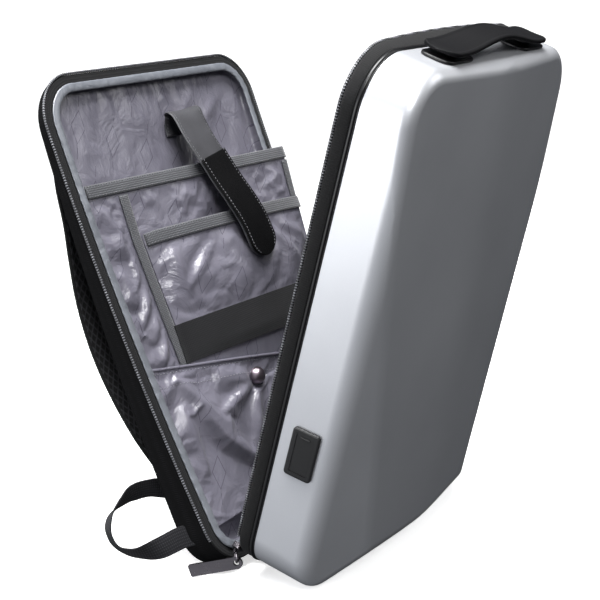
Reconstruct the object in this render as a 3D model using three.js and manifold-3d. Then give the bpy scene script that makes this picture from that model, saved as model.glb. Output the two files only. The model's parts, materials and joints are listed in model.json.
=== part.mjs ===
// A hard shell backpack standing unzipped on its lower edges: a faceted moulded front shell leans
// forward, a soft zipped back half with a lined organiser leans back, and a cloth strip joins them below.
// Millimetres, +Z up, the front of the pack towards -Y. The origin is the middle of the footprint.
import * as THREE from 'three';
import { mergeVertices } from 'three/addons/utils/BufferGeometryUtils.js';
import Module from 'manifold-3d';

const wasm = await Module();
wasm.setup();

// Whole pack
const packWidth = 300;
const packHeight = 440;
const topRadius = 42;
const bottomRadius = 36;
const shellLean = 18.2; // degrees, towards the front
const backLean = 21.1; // degrees, towards the wearer
const hingeSpan = 31; // rim to rim along the floor
const fitGap = 0.3;

// Moulded shell
const shellWall = 2.4;
const shellDraft = 4; // the walls lean in by this much at the depth of the side wall
const sideDepth = 48; // side wall at the floor, from rim to front edge
const apexDepth = 45; // side wall where the side facets begin
const topDepth = 45; // front ridge at the top edge
const ridgeDepth = 81; // front ridge at the toe
const toeHeight = 33;
const facetApex = 345; // where the side facets begin
const facetToe = 92; // from the centre line to the side facets at the toe
const facetToeHeight = 36;

// Zipped edge of the shell
const pipingRadius = 2;
const bandDepth = 10.6;
const bandWall = 2;
const bandCrown = 6; // rise of the cloth band at the middle of the top
const coilSize = 2.3;

// Soft back half
const backTopDepth = 9;
const backToeDepth = 34;
const trayWall = 2.2;
const bowDepth = 9; // the soft frame sags backwards at mid height
const tapeWidth = 8.5;
const tapeThick = 1.2;
const liningWall = 1.1;
const backEdge = 6; // rounding of the rear edge

// Organiser
const clothThick = 1.2;
const organiserDepth = 38; // its right edge, off the lining, near the top
const sleeveLeft = -122;
const sleeveRight = 135;
const sleeveTopLeft = 345;
const sleeveTopRight = 332;
const pocketLeft = -66;
const pocketLeftTop = -78;
const pocketTopLeft = 291;
const pocketTopRight = 280;
const pocketFloor = 110;
const pocketStand = 14; // room in front of the sleeve
const lowerLeft = -125;
const lowerTopLeft = 180;
const lowerTopRight = 122;
const organiserFloor = 29;
const bindingWidth = 12;
const bindingThick = 1.1;
const elasticHeight = 36;
const elasticFoot = 170;
const elasticDrop = 8; // the band is sewn lower at its right end
const snapRadius = 8;
const snapHeight = 4.4;
const snapFoot = 131;
const snapSide = -4;

// Strap that holds a laptop down
const keeperWidth = 42;
const keeperThick = 2.4;
const keeperTabThick = 1.5;

// Shoulder straps and their webbing
const strapCentre = 106;
const strapWidth = 66;
const strapThick = 9;
const strapBow = 52; // from the rim back to the strap's middle, where it bows most
const webWidth = 19;
const webThick = 1.6;

// Handle
const handleHalf = 93;
const handleWidth = 30;
const handleThick = 4.6;
const handleRise = 7.5;
const handleDepth = 19; // from the rim back to its centreline
const plateLength = 48;
const plateWidth = 27;
const plateThick = 2.2;
const plateCentre = 70;
const postRadius = 7;
const postHeight = 2.4;

// Charging port in the side wall
const portWidth = 24;
const portHeight = 43;
const portProud = 3;
const portFoot = 107;
const portFront = 22; // from the rim to its middle
const portFrame = 4;
const portRecess = 1.9;
const portBody = 9;

// Zip slider, ring and pull
const sliderLength = 11;
const sliderWidth = 8;
const sliderThick = 4.6;
const sliderAngle = 224; // round the lower left corner, 180 is straight left
const bridgeRadius = 3.2;
const bridgeWire = 0.8;
const ringRadius = 5.2;
const ringWire = 0.95;
const ringTurn = 45; // degrees, between the bridge and the pull's eye
const pullLength = 50;
const pullWidth = 11;
const pullThick = 2.2;
const pullEye = 2.5;
const pullTurn = 105.5; // degrees from the pack's width
const pullDrop = 15; // degrees below level

const arcSteps = 6;
const sideSteps = 8;
const crossSteps = 6;

const turn = THREE.MathUtils.degToRad;
const mix = THREE.MathUtils.lerp;
const vec = (x, y, z) => new THREE.Vector3(x, y, z);

// Round-cornered outline of the pack in its own rim plane, drawn inwards by inset.
// The top edge rises by crown at its middle, and the bottom edge sinks by drop.
function outline(inset, crown = 0, drop = 0) {
  const half = packWidth / 2 - inset;
  const low = inset - drop;
  const high = packHeight - inset;
  const topR = Math.max(topRadius - inset, 2);
  const lowR = Math.max(bottomRadius - inset, 2);
  const points = [];
  const arc = (x, z, radius, from) => {
    for (let i = 0; i <= arcSteps; i++) {
      const a = turn(from + (90 * i) / arcSteps);
      points.push({ x: x + radius * Math.cos(a), z: z + radius * Math.sin(a) });
    }
  };
  const line = (steps, x0, z0, x1, z1) => {
    for (let i = 1; i < steps; i++) {
      points.push({ x: mix(x0, x1, i / steps), z: mix(z0, z1, i / steps) });
    }
  };
  arc(half - lowR, low + lowR, lowR, -90);
  line(sideSteps, half, low + lowR, half, high - topR);
  arc(half - topR, high - topR, topR, 0);
  line(crossSteps, half - topR, high, topR - half, high);
  arc(topR - half, high - topR, topR, 90);
  line(sideSteps, -half, high - topR, -half, low + lowR);
  arc(lowR - half, low + lowR, lowR, 180);
  line(crossSteps, lowR - half, low, half - lowR, low);
  for (const p of points) {
    if (p.z > packHeight / 2) p.z += crown * (1 - (p.x / half) ** 2);
  }
  return points;
}

// Turns a geometry's faces outwards.
function facingOut(geometry) {
  const p = geometry.attributes.position;
  const index = geometry.index.array;
  const [a, b, c] = [vec(), vec(), vec()];
  let volume = 0;
  for (let i = 0; i < index.length; i += 3) {
    a.fromBufferAttribute(p, index[i]);
    b.fromBufferAttribute(p, index[i + 1]);
    c.fromBufferAttribute(p, index[i + 2]);
    volume += a.dot(b.cross(c));
  }
  if (volume < 0) {
    for (let i = 0; i < index.length; i += 3) {
      [index[i + 1], index[i + 2]] = [index[i + 2], index[i + 1]];
    }
  }
  return geometry;
}

function closedMesh(points, faces) {
  const geometry = new THREE.BufferGeometry().setFromPoints(points);
  geometry.setIndex(faces);
  return facingOut(geometry);
}

// Skin over a row of loops with the same number of points: a ring joins its last loop to its first,
// anything else is closed by a fan at each end.
function skin(loops, ring = false) {
  const n = loops[0].length;
  const points = loops.flat();
  const faces = [];
  const rows = ring ? loops.length : loops.length - 1;
  for (let r = 0; r < rows; r++) {
    const next = ((r + 1) % loops.length) * n;
    for (let i = 0; i < n; i++) {
      const j = (i + 1) % n;
      faces.push(r * n + i, r * n + j, next + j, r * n + i, next + j, next + i);
    }
  }
  if (!ring) {
    const ends = [
      { row: 0, flip: true },
      { row: loops.length - 1, flip: false },
    ];
    for (const { row, flip } of ends) {
      const hub = loops[row].reduce((sum, p) => sum.add(p), vec(0, 0, 0)).divideScalar(n);
      points.push(hub);
      for (let i = 0; i < n; i++) {
        const a = row * n + i;
        const b = row * n + ((i + 1) % n);
        faces.push(...(flip ? [points.length - 1, b, a] : [points.length - 1, a, b]));
      }
    }
  }
  return closedMesh(points, faces);
}

// Cloth of an even thickness over a grid of points, thickened behind its face.
function thickSheet(grid, thickness) {
  const rows = grid.length;
  const cols = grid[0].length;
  const at = (r, c) => grid[Math.min(Math.max(r, 0), rows - 1)][Math.min(Math.max(c, 0), cols - 1)];
  const points = grid.flat();
  for (let r = 0; r < rows; r++) {
    for (let c = 0; c < cols; c++) {
      const along = at(r, c + 1).clone().sub(at(r, c - 1));
      const up = at(r + 1, c).clone().sub(at(r - 1, c));
      const normal = along.cross(up).normalize();
      points.push(grid[r][c].clone().addScaledVector(normal, -thickness));
    }
  }
  const faces = [];
  const back = rows * cols;
  const quad = (a, b, c, d) => faces.push(a, b, c, a, c, d);
  for (let r = 0; r < rows - 1; r++) {
    for (let c = 0; c < cols - 1; c++) {
      const a = r * cols + c;
      quad(a, a + 1, a + cols + 1, a + cols);
      quad(back + a, back + a + cols, back + a + cols + 1, back + a + 1);
    }
  }
  const rim = [];
  for (let c = 0; c < cols; c++) rim.push(c);
  for (let r = 1; r < rows; r++) rim.push(r * cols + cols - 1);
  for (let c = cols - 2; c >= 0; c--) rim.push((rows - 1) * cols + c);
  for (let r = rows - 2; r > 0; r--) rim.push(r * cols);
  rim.forEach((a, i) => {
    const b = rim[(i + 1) % rim.length];
    quad(b, a, back + a, back + b);
  });
  return closedMesh(points, faces);
}

// Sections of a padded or flat strip. Each corner is a share of the width and of the thickness.
const flatSection = [[-0.5, -0.5], [0.5, -0.5], [0.5, 0.5], [-0.5, 0.5]];
const paddedSection = [
  [-0.5, -0.12], [-0.44, -0.42], [-0.3, -0.5], [0.3, -0.5], [0.44, -0.42],
  [0.5, -0.12], [0.5, 0.12], [0.44, 0.42], [0.3, 0.5], [-0.3, 0.5], [-0.44, 0.42], [-0.5, 0.12],
];

// Strip along stations { centre, across, width, thick }, closed at both ends.
function strip(stations, section) {
  const loops = stations.map((s, i) => {
    const before = stations[Math.max(i - 1, 0)].centre;
    const after = stations[Math.min(i + 1, stations.length - 1)].centre;
    const along = after.clone().sub(before).normalize();
    const across = s.across.clone().addScaledVector(along, -s.across.dot(along)).normalize();
    const out = along.clone().cross(across);
    return section.map(([a, b]) =>
      s.centre.clone().addScaledVector(across, a * s.width).addScaledVector(out, b * s.thick));
  });
  return skin(loops);
}

function solidOf(geometry) {
  const bare = geometry.clone();
  bare.deleteAttribute('normal');
  bare.deleteAttribute('uv');
  const merged = mergeVertices(bare, 1e-3);
  return new wasm.Manifold(new wasm.Mesh({
    numProp: 3,
    vertProperties: merged.attributes.position.array,
    triVerts: new Uint32Array(merged.index.array),
  }));
}

function geometryOf(solid) {
  const mesh = solid.getMesh();
  const geometry = new THREE.BufferGeometry();
  geometry.setAttribute('position', new THREE.BufferAttribute(mesh.vertProperties, 3));
  geometry.setIndex(new THREE.BufferAttribute(mesh.triVerts, 1));
  return geometry;
}

function boxBetween(low, high) {
  const size = high.clone().sub(low);
  const box = new THREE.BoxGeometry(size.x, size.y, size.z);
  return box.translate((low.x + high.x) / 2, (low.y + high.y) / 2, (low.z + high.z) / 2);
}

// Everything outside a plane, as a block that cuts it off.
function beyond(plane) {
  const reach = 4 * packHeight;
  const block = new THREE.BoxGeometry(reach, reach, reach).translate(0, 0, reach / 2);
  const face = plane.coplanarPoint(vec());
  const towards = new THREE.Quaternion().setFromUnitVectors(vec(0, 0, 1), plane.normal);
  block.applyQuaternion(towards).translate(face.x, face.y, face.z);
  return solidOf(block);
}

const colours = {
  silver: { color: 0xc4c6cb, roughness: 0.32, metalness: 0.55 },
  black: { color: 0x1d1d1f, roughness: 0.8, metalness: 0 },
  rubber: { color: 0x17181a, roughness: 0.55, metalness: 0 },
  mesh: { color: 0x141415, roughness: 0.9, metalness: 0 },
  web: { color: 0x2b2c2e, roughness: 0.75, metalness: 0 },
  lining: { color: 0x8f8b99, roughness: 0.45, metalness: 0 },
  trim: { color: 0x4a4b50, roughness: 0.7, metalness: 0 },
  elastic: { color: 0x1f1f20, roughness: 0.85, metalness: 0 },
  leather: { color: 0x2a2a2b, roughness: 0.5, metalness: 0 },
  gunmetal: { color: 0x3b383b, roughness: 0.25, metalness: 0.95 },
};
const materials = Object.fromEntries(
  Object.entries(colours).map(([name, look]) => [name, new THREE.MeshStandardMaterial(look)]),
);

function piece(name, geometry, finish) {
  const mesh = new THREE.Mesh(geometry, materials[finish]);
  mesh.name = name;
  return mesh;
}

// Front shell: an open box with a ridged front, two long side facets and a slanted toe.
const halfWidth = packWidth / 2;

const draftAngle = Math.atan(shellDraft / sideDepth);
const facetEdge = halfWidth - shellDraft;

function frontPlanes() {
  const toe = vec(0, -ridgeDepth, toeHeight);
  const brow = vec(0, -topDepth, packHeight);
  const planes = [];
  for (const side of [-1, 1]) {
    const apex = vec(side * facetEdge, -apexDepth, facetApex);
    const heel = vec(side * facetEdge, -sideDepth, 0);
    const main = new THREE.Plane().setFromCoplanarPoints(apex, toe, brow);
    const down = new THREE.Ray(vec(side * facetToe, 0, facetToeHeight), vec(0, -1, 0));
    const corner = down.intersectPlane(main, vec());
    planes.push(
      main,
      new THREE.Plane().setFromCoplanarPoints(apex, heel, corner),
      new THREE.Plane().setFromCoplanarPoints(heel, corner, toe),
    );
  }
  const [left, right] = [-1, 1].map((side) => vec(side * halfWidth, -sideDepth, 0));
  planes.push(new THREE.Plane().setFromCoplanarPoints(left, right, toe));
  for (const plane of planes) {
    if (plane.normal.y > 0) plane.negate();
  }
  return planes;
}

function shellBlock(inset, rimY) {
  const reach = 2 * ridgeDepth;
  const level = (y, draft) => outline(inset + draft, 0, draft).map((p) => vec(p.x, y, p.z));
  let block = solidOf(skin([level(rimY, 0), level(-reach, (shellDraft * reach) / sideDepth)]));
  for (const plane of frontPlanes()) {
    plane.constant += inset;
    block = block.subtract(beyond(plane));
  }
  return block;
}

// Moves a piece drawn against an undrafted wall at x = 0 or z = 0 onto the drafted wall, at a depth.
function onLeftWall(geometry, depth) {
  const x = -halfWidth + (shellDraft * depth) / sideDepth;
  return geometry.rotateZ(draftAngle).translate(x, -depth, 0);
}

function onTopWall(geometry, depth) {
  const z = packHeight - (shellDraft * depth) / sideDepth;
  return geometry.rotateX(draftAngle).translate(0, -depth, z);
}

function portHole() {
  const half = portWidth / 2 - portFrame + fitGap;
  const low = vec(-shellWall, -half, portFoot + portFrame - fitGap);
  const high = vec(2 * shellWall, half, portFoot + portHeight - portFrame + fitGap);
  return solidOf(onLeftWall(boxBetween(low, high), portFront));
}

function moulding() {
  return geometryOf(shellBlock(0, 0).subtract(shellBlock(shellWall, fitGap)).subtract(portHole()));
}

// Profiles swept round the outline: points { y, inset, crown }.
function loopsOf(profile, lift = () => 0) {
  return profile.map(({ y, inset, crown = 0 }) =>
    outline(inset, crown).map((p) => vec(p.x, y + lift(p.z), p.z)));
}

// The part of a swept profile that runs over the top from corner to corner.
function arched(profile, lift) {
  const loops = loopsOf(profile, lift);
  const first = arcSteps - 1;
  const last = 3 * arcSteps + 2 * sideSteps + crossSteps + 1;
  const sections = [];
  for (let i = first; i <= last; i++) sections.push(loops.map((loop) => loop[i]));
  return skin(sections);
}

function pipingProfile() {
  const points = [];
  for (let i = 0; i < 8; i++) {
    const a = turn(45 * i + 22.5);
    points.push({
      y: fitGap + pipingRadius + pipingRadius * Math.cos(a),
      inset: 0.6 * pipingRadius - pipingRadius * Math.sin(a),
    });
  }
  return points;
}

const bandStart = 2 * pipingRadius + 2 * fitGap;
const bandEnd = bandStart + bandDepth;

function bandProfile() {
  return [
    { y: bandStart, inset: 0, crown: 0 },
    { y: bandStart + bandDepth / 2, inset: -0.6, crown: bandCrown / 2 },
    { y: bandEnd, inset: 0, crown: bandCrown },
    { y: bandEnd, inset: bandWall, crown: bandCrown },
    { y: bandStart, inset: bandWall, crown: 0 },
  ];
}

function coilProfile(start, crown) {
  return [
    { y: start, inset: -0.4, crown },
    { y: start + coilSize, inset: -0.4, crown },
    { y: start + coilSize, inset: coilSize - 0.4, crown },
    { y: start, inset: coilSize - 0.4, crown },
  ];
}

// Carry handle: a flat moulded strip whose round ends stand on two plates.
function handleStrip() {
  const stations = [];
  const steps = 16;
  const foot = 3 * fitGap + plateThick + postHeight + handleThick / 2;
  for (let i = 0; i <= steps; i++) {
    const s = -1 + (2 * i) / steps;
    const arch = 0.5 + 0.5 * Math.cos(Math.PI * Math.min(1, Math.abs(s) * 1.25));
    const roundEnd = Math.sqrt(Math.max(1 - Math.max(0, (Math.abs(s) - 0.86) / 0.14) ** 2, 0.16));
    const waist = mix(1.04, 0.92, arch);
    stations.push({
      centre: vec(s * handleHalf, 0, foot + handleRise * arch),
      across: vec(0, 1, 0),
      width: handleWidth * waist * roundEnd,
      thick: handleThick,
    });
  }
  return onTopWall(strip(stations, paddedSection), handleDepth);
}

function roundedPlate(length, width, thick, radius) {
  const shape = new THREE.Shape();
  const [x, y] = [length / 2, width / 2];
  shape.absarc(x - radius, y - radius, radius, 0, Math.PI / 2);
  shape.absarc(radius - x, y - radius, radius, Math.PI / 2, Math.PI);
  shape.absarc(radius - x, radius - y, radius, Math.PI, 1.5 * Math.PI);
  shape.absarc(x - radius, radius - y, radius, 1.5 * Math.PI, 2 * Math.PI);
  return new THREE.ExtrudeGeometry(shape, { depth: thick, bevelEnabled: false, curveSegments: 4 });
}

function handlePieces() {
  const pieces = [piece('handle', handleStrip(), 'rubber')];
  for (const [name, side] of [['left', -1], ['right', 1]]) {
    const plate = roundedPlate(plateLength, plateWidth, plateThick, 9);
    plate.translate(side * plateCentre, 0, fitGap);
    const post = new THREE.CylinderGeometry(postRadius, postRadius, postHeight, 16).rotateX(Math.PI / 2);
    post.translate(side * plateCentre, 0, 2 * fitGap + plateThick + postHeight / 2);
    pieces.push(
      piece('handle_plate_' + name, onTopWall(plate, handleDepth), 'rubber'),
      piece('handle_post_' + name, onTopWall(post, handleDepth), 'rubber'),
    );
  }
  return pieces;
}

// Port housing: a bevelled frame outside, a body through the wall and a recess for its cover.
function portPieces() {
  const outer = -fitGap - portProud;
  const middle = portFoot + portHeight / 2;
  const flange = roundedPlate(portHeight, portWidth, portProud, 3);
  flange.rotateY(-Math.PI / 2).translate(-fitGap, 0, middle);
  const blockOf = (x0, x1, grow) => {
    const y = portWidth / 2 - portFrame + grow;
    const z = portHeight / 2 - portFrame + grow;
    return boxBetween(vec(x0, -y, middle - z), vec(x1, y, middle + z));
  };
  const body = blockOf(-fitGap - 0.5, portBody, 0);
  const recess = blockOf(outer - 1, outer + portRecess, 0.8);
  const housing = geometryOf(solidOf(flange).add(solidOf(body)).subtract(solidOf(recess)));
  const cover = blockOf(outer + 0.4, outer + portRecess - fitGap, 0.4);
  return [
    piece('usb_port', onLeftWall(housing, portFront), 'rubber'),
    piece('usb_cover', onLeftWall(cover, portFront), 'rubber'),
  ];
}

function shellHalf() {
  const group = new THREE.Group();
  group.add(
    piece('shell', moulding(), 'silver'),
    piece('shell_piping', skin(loopsOf(pipingProfile()), true), 'rubber'),
    piece('shell_band', skin(loopsOf(bandProfile()), true), 'black'),
    piece('shell_zip', arched(coilProfile(bandEnd + fitGap, bandCrown)), 'trim'),
    ...handlePieces(),
    ...portPieces(),
  );
  return group;
}

// Back half. Everything in it follows the bow of its soft frame.
const bow = (z) => bowDepth * (1 / 3 - ((2 * z) / packHeight - 1) ** 2);
const backDepthAt = (z) => mix(backToeDepth, backTopDepth, z / packHeight);
const floorAt = (z) => backDepthAt(z) - trayWall - 2 * fitGap - liningWall;
const inBack = (x, y, z) => vec(x, y + bow(z), z);

// Loops of a tray: each row is { depth(z), inset, share }, and share draws a floor loop to the middle.
function trayLoops(rows) {
  return rows.map(({ depth, inset, share = 1 }) =>
    outline(inset).map((p) => {
      const x = p.x * share;
      const z = packHeight / 2 + (p.z - packHeight / 2) * share;
      return inBack(x, depth(z), z);
    }));
}

function backTray() {
  const rear = (drop) => (z) => backDepthAt(z) - drop;
  const floor = (z) => backDepthAt(z) - trayWall;
  return skin(trayLoops([
    { depth: rear(0), inset: backEdge, share: 0.35 },
    { depth: rear(0), inset: backEdge, share: 0.7 },
    { depth: rear(0), inset: backEdge },
    { depth: rear(0.3 * backEdge), inset: 0.3 * backEdge },
    { depth: rear(backEdge), inset: 0 },
    { depth: () => 0, inset: 0 },
    { depth: () => 0, inset: trayWall },
    { depth: rear(backEdge), inset: trayWall },
    { depth: floor, inset: backEdge },
    { depth: floor, inset: backEdge, share: 0.7 },
    { depth: floor, inset: backEdge, share: 0.35 },
  ]));
}

const tapeStart = 0.5;
const liningInset = tapeStart + tapeWidth + fitGap;

function lining() {
  const under = (z) => floorAt(z) + liningWall;
  const lip = -fitGap - tapeThick;
  return skin(trayLoops([
    { depth: under, inset: liningInset + 3, share: 0.35 },
    { depth: under, inset: liningInset + 3, share: 0.7 },
    { depth: under, inset: liningInset + 3 },
    { depth: (z) => under(z) - 3, inset: liningInset },
    { depth: () => lip, inset: liningInset },
    { depth: () => lip, inset: liningInset + liningWall },
    { depth: (z) => floorAt(z) - 2.4, inset: liningInset + liningWall },
    { depth: floorAt, inset: liningInset + 3 + liningWall },
    { depth: floorAt, inset: liningInset + 3 + liningWall, share: 0.7 },
    { depth: floorAt, inset: liningInset + 3 + liningWall, share: 0.35 },
  ]));
}

function backTape() {
  return skin(loopsOf([
    { y: -fitGap - tapeThick, inset: tapeStart },
    { y: -fitGap, inset: tapeStart },
    { y: -fitGap, inset: tapeStart + tapeWidth },
    { y: -fitGap - tapeThick, inset: tapeStart + tapeWidth },
  ], bow), true);
}

function backZip() {
  const outer = -coilSize + 0.4;
  return arched([
    { y: -fitGap - coilSize, inset: outer },
    { y: -fitGap, inset: outer },
    { y: -fitGap, inset: outer + coilSize - 0.3 },
    { y: -fitGap - coilSize, inset: outer + coilSize - 0.3 },
  ], bow);
}

// How far the organiser's right edge stands off the lining, as a share of its depth, by height as a
// share of the pack's.
const sleeveStand = [
  { height: 0.06, stand: 0.2368 },
  { height: 0.29, stand: 0.6316 },
  { height: 0.45, stand: 0.8158 },
  { height: 0.64, stand: 0.9211 },
  { height: 0.78, stand: 1 },
];
const lowerStand = [
  { height: 0.06, stand: 0.3684 },
  { height: 0.15, stand: 0.6842 },
  { height: 0.29, stand: 0.8421 },
  { height: 0.42, stand: 0.9474 },
];

function standAt(table, z) {
  const share = z / packHeight;
  const next = table.findIndex((row) => row.height >= share);
  if (next === 0) return table[0].stand * organiserDepth;
  if (next < 0) return table.at(-1).stand * organiserDepth;
  const [a, b] = [table[next - 1], table[next]];
  return organiserDepth * mix(a.stand, b.stand, (share - a.height) / (b.height - a.height));
}

const seam = 0.6; // cloth lies this far in front of the lining at a seam
const reach = (x, from, to) => Math.min(Math.max((x - from) / (to - from), 0), 1);
const spread = (from, to, steps) => Array.from({ length: steps + 1 }, (_, i) => mix(from, to, i / steps));
const sleeveTop = (x) => mix(sleeveTopLeft, sleeveTopRight, reach(x, sleeveLeft, sleeveRight));
const pocketTop = (x) => mix(pocketTopLeft, pocketTopRight, reach(x, pocketLeft, sleeveRight));
const lowerTop = (x) => mix(lowerTopLeft, lowerTopRight, reach(x, lowerLeft, sleeveRight));
const pocketSide = (z) => mix(pocketLeft, pocketLeftTop, reach(z, pocketFloor, pocketTopLeft));

const sleeveY = (x, z) =>
  floorAt(z) - seam - clothThick - standAt(sleeveStand, z) * reach(x, sleeveLeft, sleeveRight);
const pocketY = (x, z) => {
  const u = reach(x, pocketSide(z), sleeveRight - 3);
  const fill = Math.min(1, (z - pocketFloor) / (0.15 * packHeight));
  return sleeveY(x, z) - seam - clothThick - pocketStand * fill * Math.sin(Math.PI * u) ** 0.6;
};
const lowerY = (x, z) => Math.min(
  floorAt(z) - 2 * seam - clothThick - standAt(lowerStand, z) * reach(x, lowerLeft, sleeveRight) ** 0.7,
  pocketY(x, Math.max(z, pocketFloor)) - 2 * seam - clothThick,
);

// Sheet whose face is y = face(x, z), between two sides and two edges. A side may slant with height and
// an edge may slope across the width.
const at = (limit, value) => (typeof limit === 'function' ? limit(value) : limit);

function panel({ left, right, low, high, cols, rows, face, thick = clothThick }) {
  const grid = spread(0, 1, rows).map((v) => spread(0, 1, cols).map((u) => {
    const near = mix(at(left, 0), at(right, 0), u);
    const z = mix(at(low, near), at(high, near), v);
    const x = mix(at(left, z), at(right, z), u);
    return inBack(x, face(x, z), z);
  }));
  return thickSheet(grid, thick);
}

function sleeve() {
  const grid = spread(0, 1, 7).map((v) => {
    const point = (x, forward) => {
      const z = mix(organiserFloor, sleeveTop(x), v);
      return inBack(x, forward ? sleeveY(x, z) + forward.back : floorAt(z) - seam, z);
    };
    const face = spread(sleeveLeft, sleeveRight - 3, 7).map((x) => point(x, { back: 0 }));
    return [...face, point(sleeveRight, { back: 2.5 }), point(sleeveRight)];
  });
  return thickSheet(grid, clothThick);
}

function tabletPocket() {
  return panel({
    left: pocketSide, right: sleeveRight - 3, low: pocketFloor, high: pocketTop,
    cols: 12, rows: 6, face: pocketY,
  });
}

function lowerPocket() {
  return panel({
    left: lowerLeft, right: sleeveRight - 1, low: organiserFloor + 1, high: lowerTop,
    cols: 8, rows: 6, face: lowerY,
  });
}

const binding = (y) => (x, z) => y(x, z) - fitGap - bindingThick;

function bindings() {
  const hem = (top) => (x) => top(x) - bindingWidth + 1;
  const brim = (top) => (x) => top(x) + 1;
  const common = { thick: bindingThick };
  const sleeveEdge = panel({
    ...common, left: sleeveLeft, right: sleeveRight - 3, low: hem(sleeveTop), high: brim(sleeveTop),
    cols: 7, rows: 2, face: binding(sleeveY),
  });
  const pocketEdge = panel({
    ...common, left: (z) => pocketSide(z) + 0.5, right: sleeveRight - 4, low: hem(pocketTop),
    high: brim(pocketTop), cols: 12, rows: 2, face: binding(pocketY),
  });
  const leftEdge = panel({
    ...common, left: (z) => pocketSide(z) - bindingWidth, right: (z) => pocketSide(z) - 2 * fitGap,
    low: elasticFoot - bindingWidth, high: (x) => hem(sleeveTop)(x) - 2 * fitGap,
    cols: 1, rows: 5, face: binding(sleeveY),
  });
  const rightEdge = panel({
    ...common, left: sleeveRight - 3 + fitGap, right: sleeveRight + bindingThick + fitGap,
    low: pocketTopRight - elasticHeight, high: (x) => hem(sleeveTop)(x) - 2 * fitGap,
    cols: 1, rows: 2, face: binding(sleeveY),
  });
  return [
    piece('sleeve_binding', sleeveEdge, 'trim'),
    piece('pocket_binding', pocketEdge, 'trim'),
    piece('side_binding_left', leftEdge, 'trim'),
    piece('side_binding_right', rightEdge, 'trim'),
  ];
}

function elasticBand() {
  const foot = (x) => elasticFoot - elasticDrop * reach(x, pocketLeft, sleeveRight);
  return panel({
    left: pocketLeft - 9, right: sleeveRight - 4, low: foot, high: (x) => foot(x) + elasticHeight,
    cols: 13, rows: 2, face: (x, z) => pocketY(x, z) - 2 * fitGap - clothThick,
  });
}

// Front of a cloth mesh in the back half's own frame, found by a ray from the front.
function frontOf(mesh, x, z) {
  const ray = new THREE.Raycaster(vec(x, -packHeight, z), vec(0, 1, 0));
  return ray.intersectObject(mesh)[0].point;
}

function snapButton(pocket) {
  const profile = [[0, 0], [1, 0], [1, 0.25], [0.92, 0.55], [0.65, 0.85], [0.3, 0.98], [0, 1]];
  const dome = new THREE.LatheGeometry(
    profile.map(([r, h]) => new THREE.Vector2(r * snapRadius, h * snapHeight)), 20);
  const on = (x, z) => frontOf(pocket, snapSide + x * snapRadius, snapFoot + z * snapRadius);
  const slopeX = on(1, 0).sub(on(-1, 0));
  const slopeZ = on(0, 1).sub(on(0, -1));
  const normal = slopeX.cross(slopeZ).normalize();
  const around = [on(0, 0), on(1, 0), on(-1, 0), on(0, 1), on(0, -1)];
  const rise = Math.max(...around.map((p) => p.sub(on(0, 0)).dot(normal)));
  dome.applyQuaternion(new THREE.Quaternion().setFromUnitVectors(vec(0, 1, 0), normal));
  const seat = on(0, 0).addScaledVector(normal, rise + fitGap);
  return dome.translate(seat.x, seat.y, seat.z);
}

// The keeper leaves the lining near the top, arches forward and hangs over both pockets.
// Its route, chosen by hand: side is a share of the pack's width, fore of the organiser's depth in
// front of the rim, and height of the pack's height.
const keeperRoute = [
  { side: 0.1, fore: -0.1684, height: 0.8455 },
  { side: 0.1, fore: -0.1632, height: 0.8659 },
  { side: 0.0967, fore: -0.0658, height: 0.883 },
  { side: 0.0867, fore: 0.1053, height: 0.8898 },
  { side: 0.075, fore: 0.2895, height: 0.875 },
  { side: 0.0667, fore: 0.4605, height: 0.8295 },
  { side: 0.0733, fore: 0.6053, height: 0.7773 },
  { side: 0.0867, fore: 0.7105, height: 0.7227 },
  { side: 0.105, fore: 0.8026, height: 0.6727 },
  { side: 0.125, fore: 0.8421, height: 0.6227 },
  { side: 0.135, fore: 0.8289, height: 0.575 },
  { side: 0.1417, fore: 0.7895, height: 0.5364 },
];

function keeperStations(from, grow, thick) {
  return keeperRoute.slice(from).map(({ side, fore, height }, i, all) => {
    const tip = i === all.length - 1 ? 0.45 : i === all.length - 2 ? 0.9 : 1;
    const centre = inBack(side * packWidth, -fore * organiserDepth - grow, height * packHeight);
    return { centre, across: vec(1, 0, 0.06), width: keeperWidth * tip, thick };
  });
}

function keeperPieces() {
  const tabGap = keeperThick / 2 + fitGap + keeperTabThick / 2 + 0.25;
  const strap = strip(keeperStations(0, 0, keeperThick), flatSection);
  const tab = strip(keeperStations(6, tabGap, keeperTabThick), flatSection);
  return [piece('laptop_strap', strap, 'leather'), piece('laptop_strap_tab', tab, 'leather')];
}

// Shoulder strap: how far its middle stands behind the rim plane, as a share of the strap's bow, by
// height as a share of the pack's.
const strapRoute = [
  { height: 0.895, behind: 0.3192, width: 0.9 },
  { height: 0.85, behind: 0.3538, width: 0.95 },
  { height: 0.795, behind: 0.4519, width: 1 },
  { height: 0.73, behind: 0.5577, width: 1 },
  { height: 0.66, behind: 0.7308, width: 1 },
  { height: 0.575, behind: 0.9135, width: 1 },
  { height: 0.48, behind: 1, width: 1 },
  { height: 0.39, behind: 0.9808, width: 0.98 },
  { height: 0.3, behind: 0.8846, width: 0.94 },
  { height: 0.235, behind: 0.7885, width: 0.84 },
  { height: 0.2, behind: 0.74, width: 0.72 },
];

function shoulderStrap(side) {
  const stations = strapRoute.map((row) => ({
    centre: inBack(side * strapCentre, row.behind * strapBow, row.height * packHeight),
    across: vec(1, 0, 0),
    width: strapWidth * row.width,
    thick: strapThick,
  }));
  return strip(stations, paddedSection);
}

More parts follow.
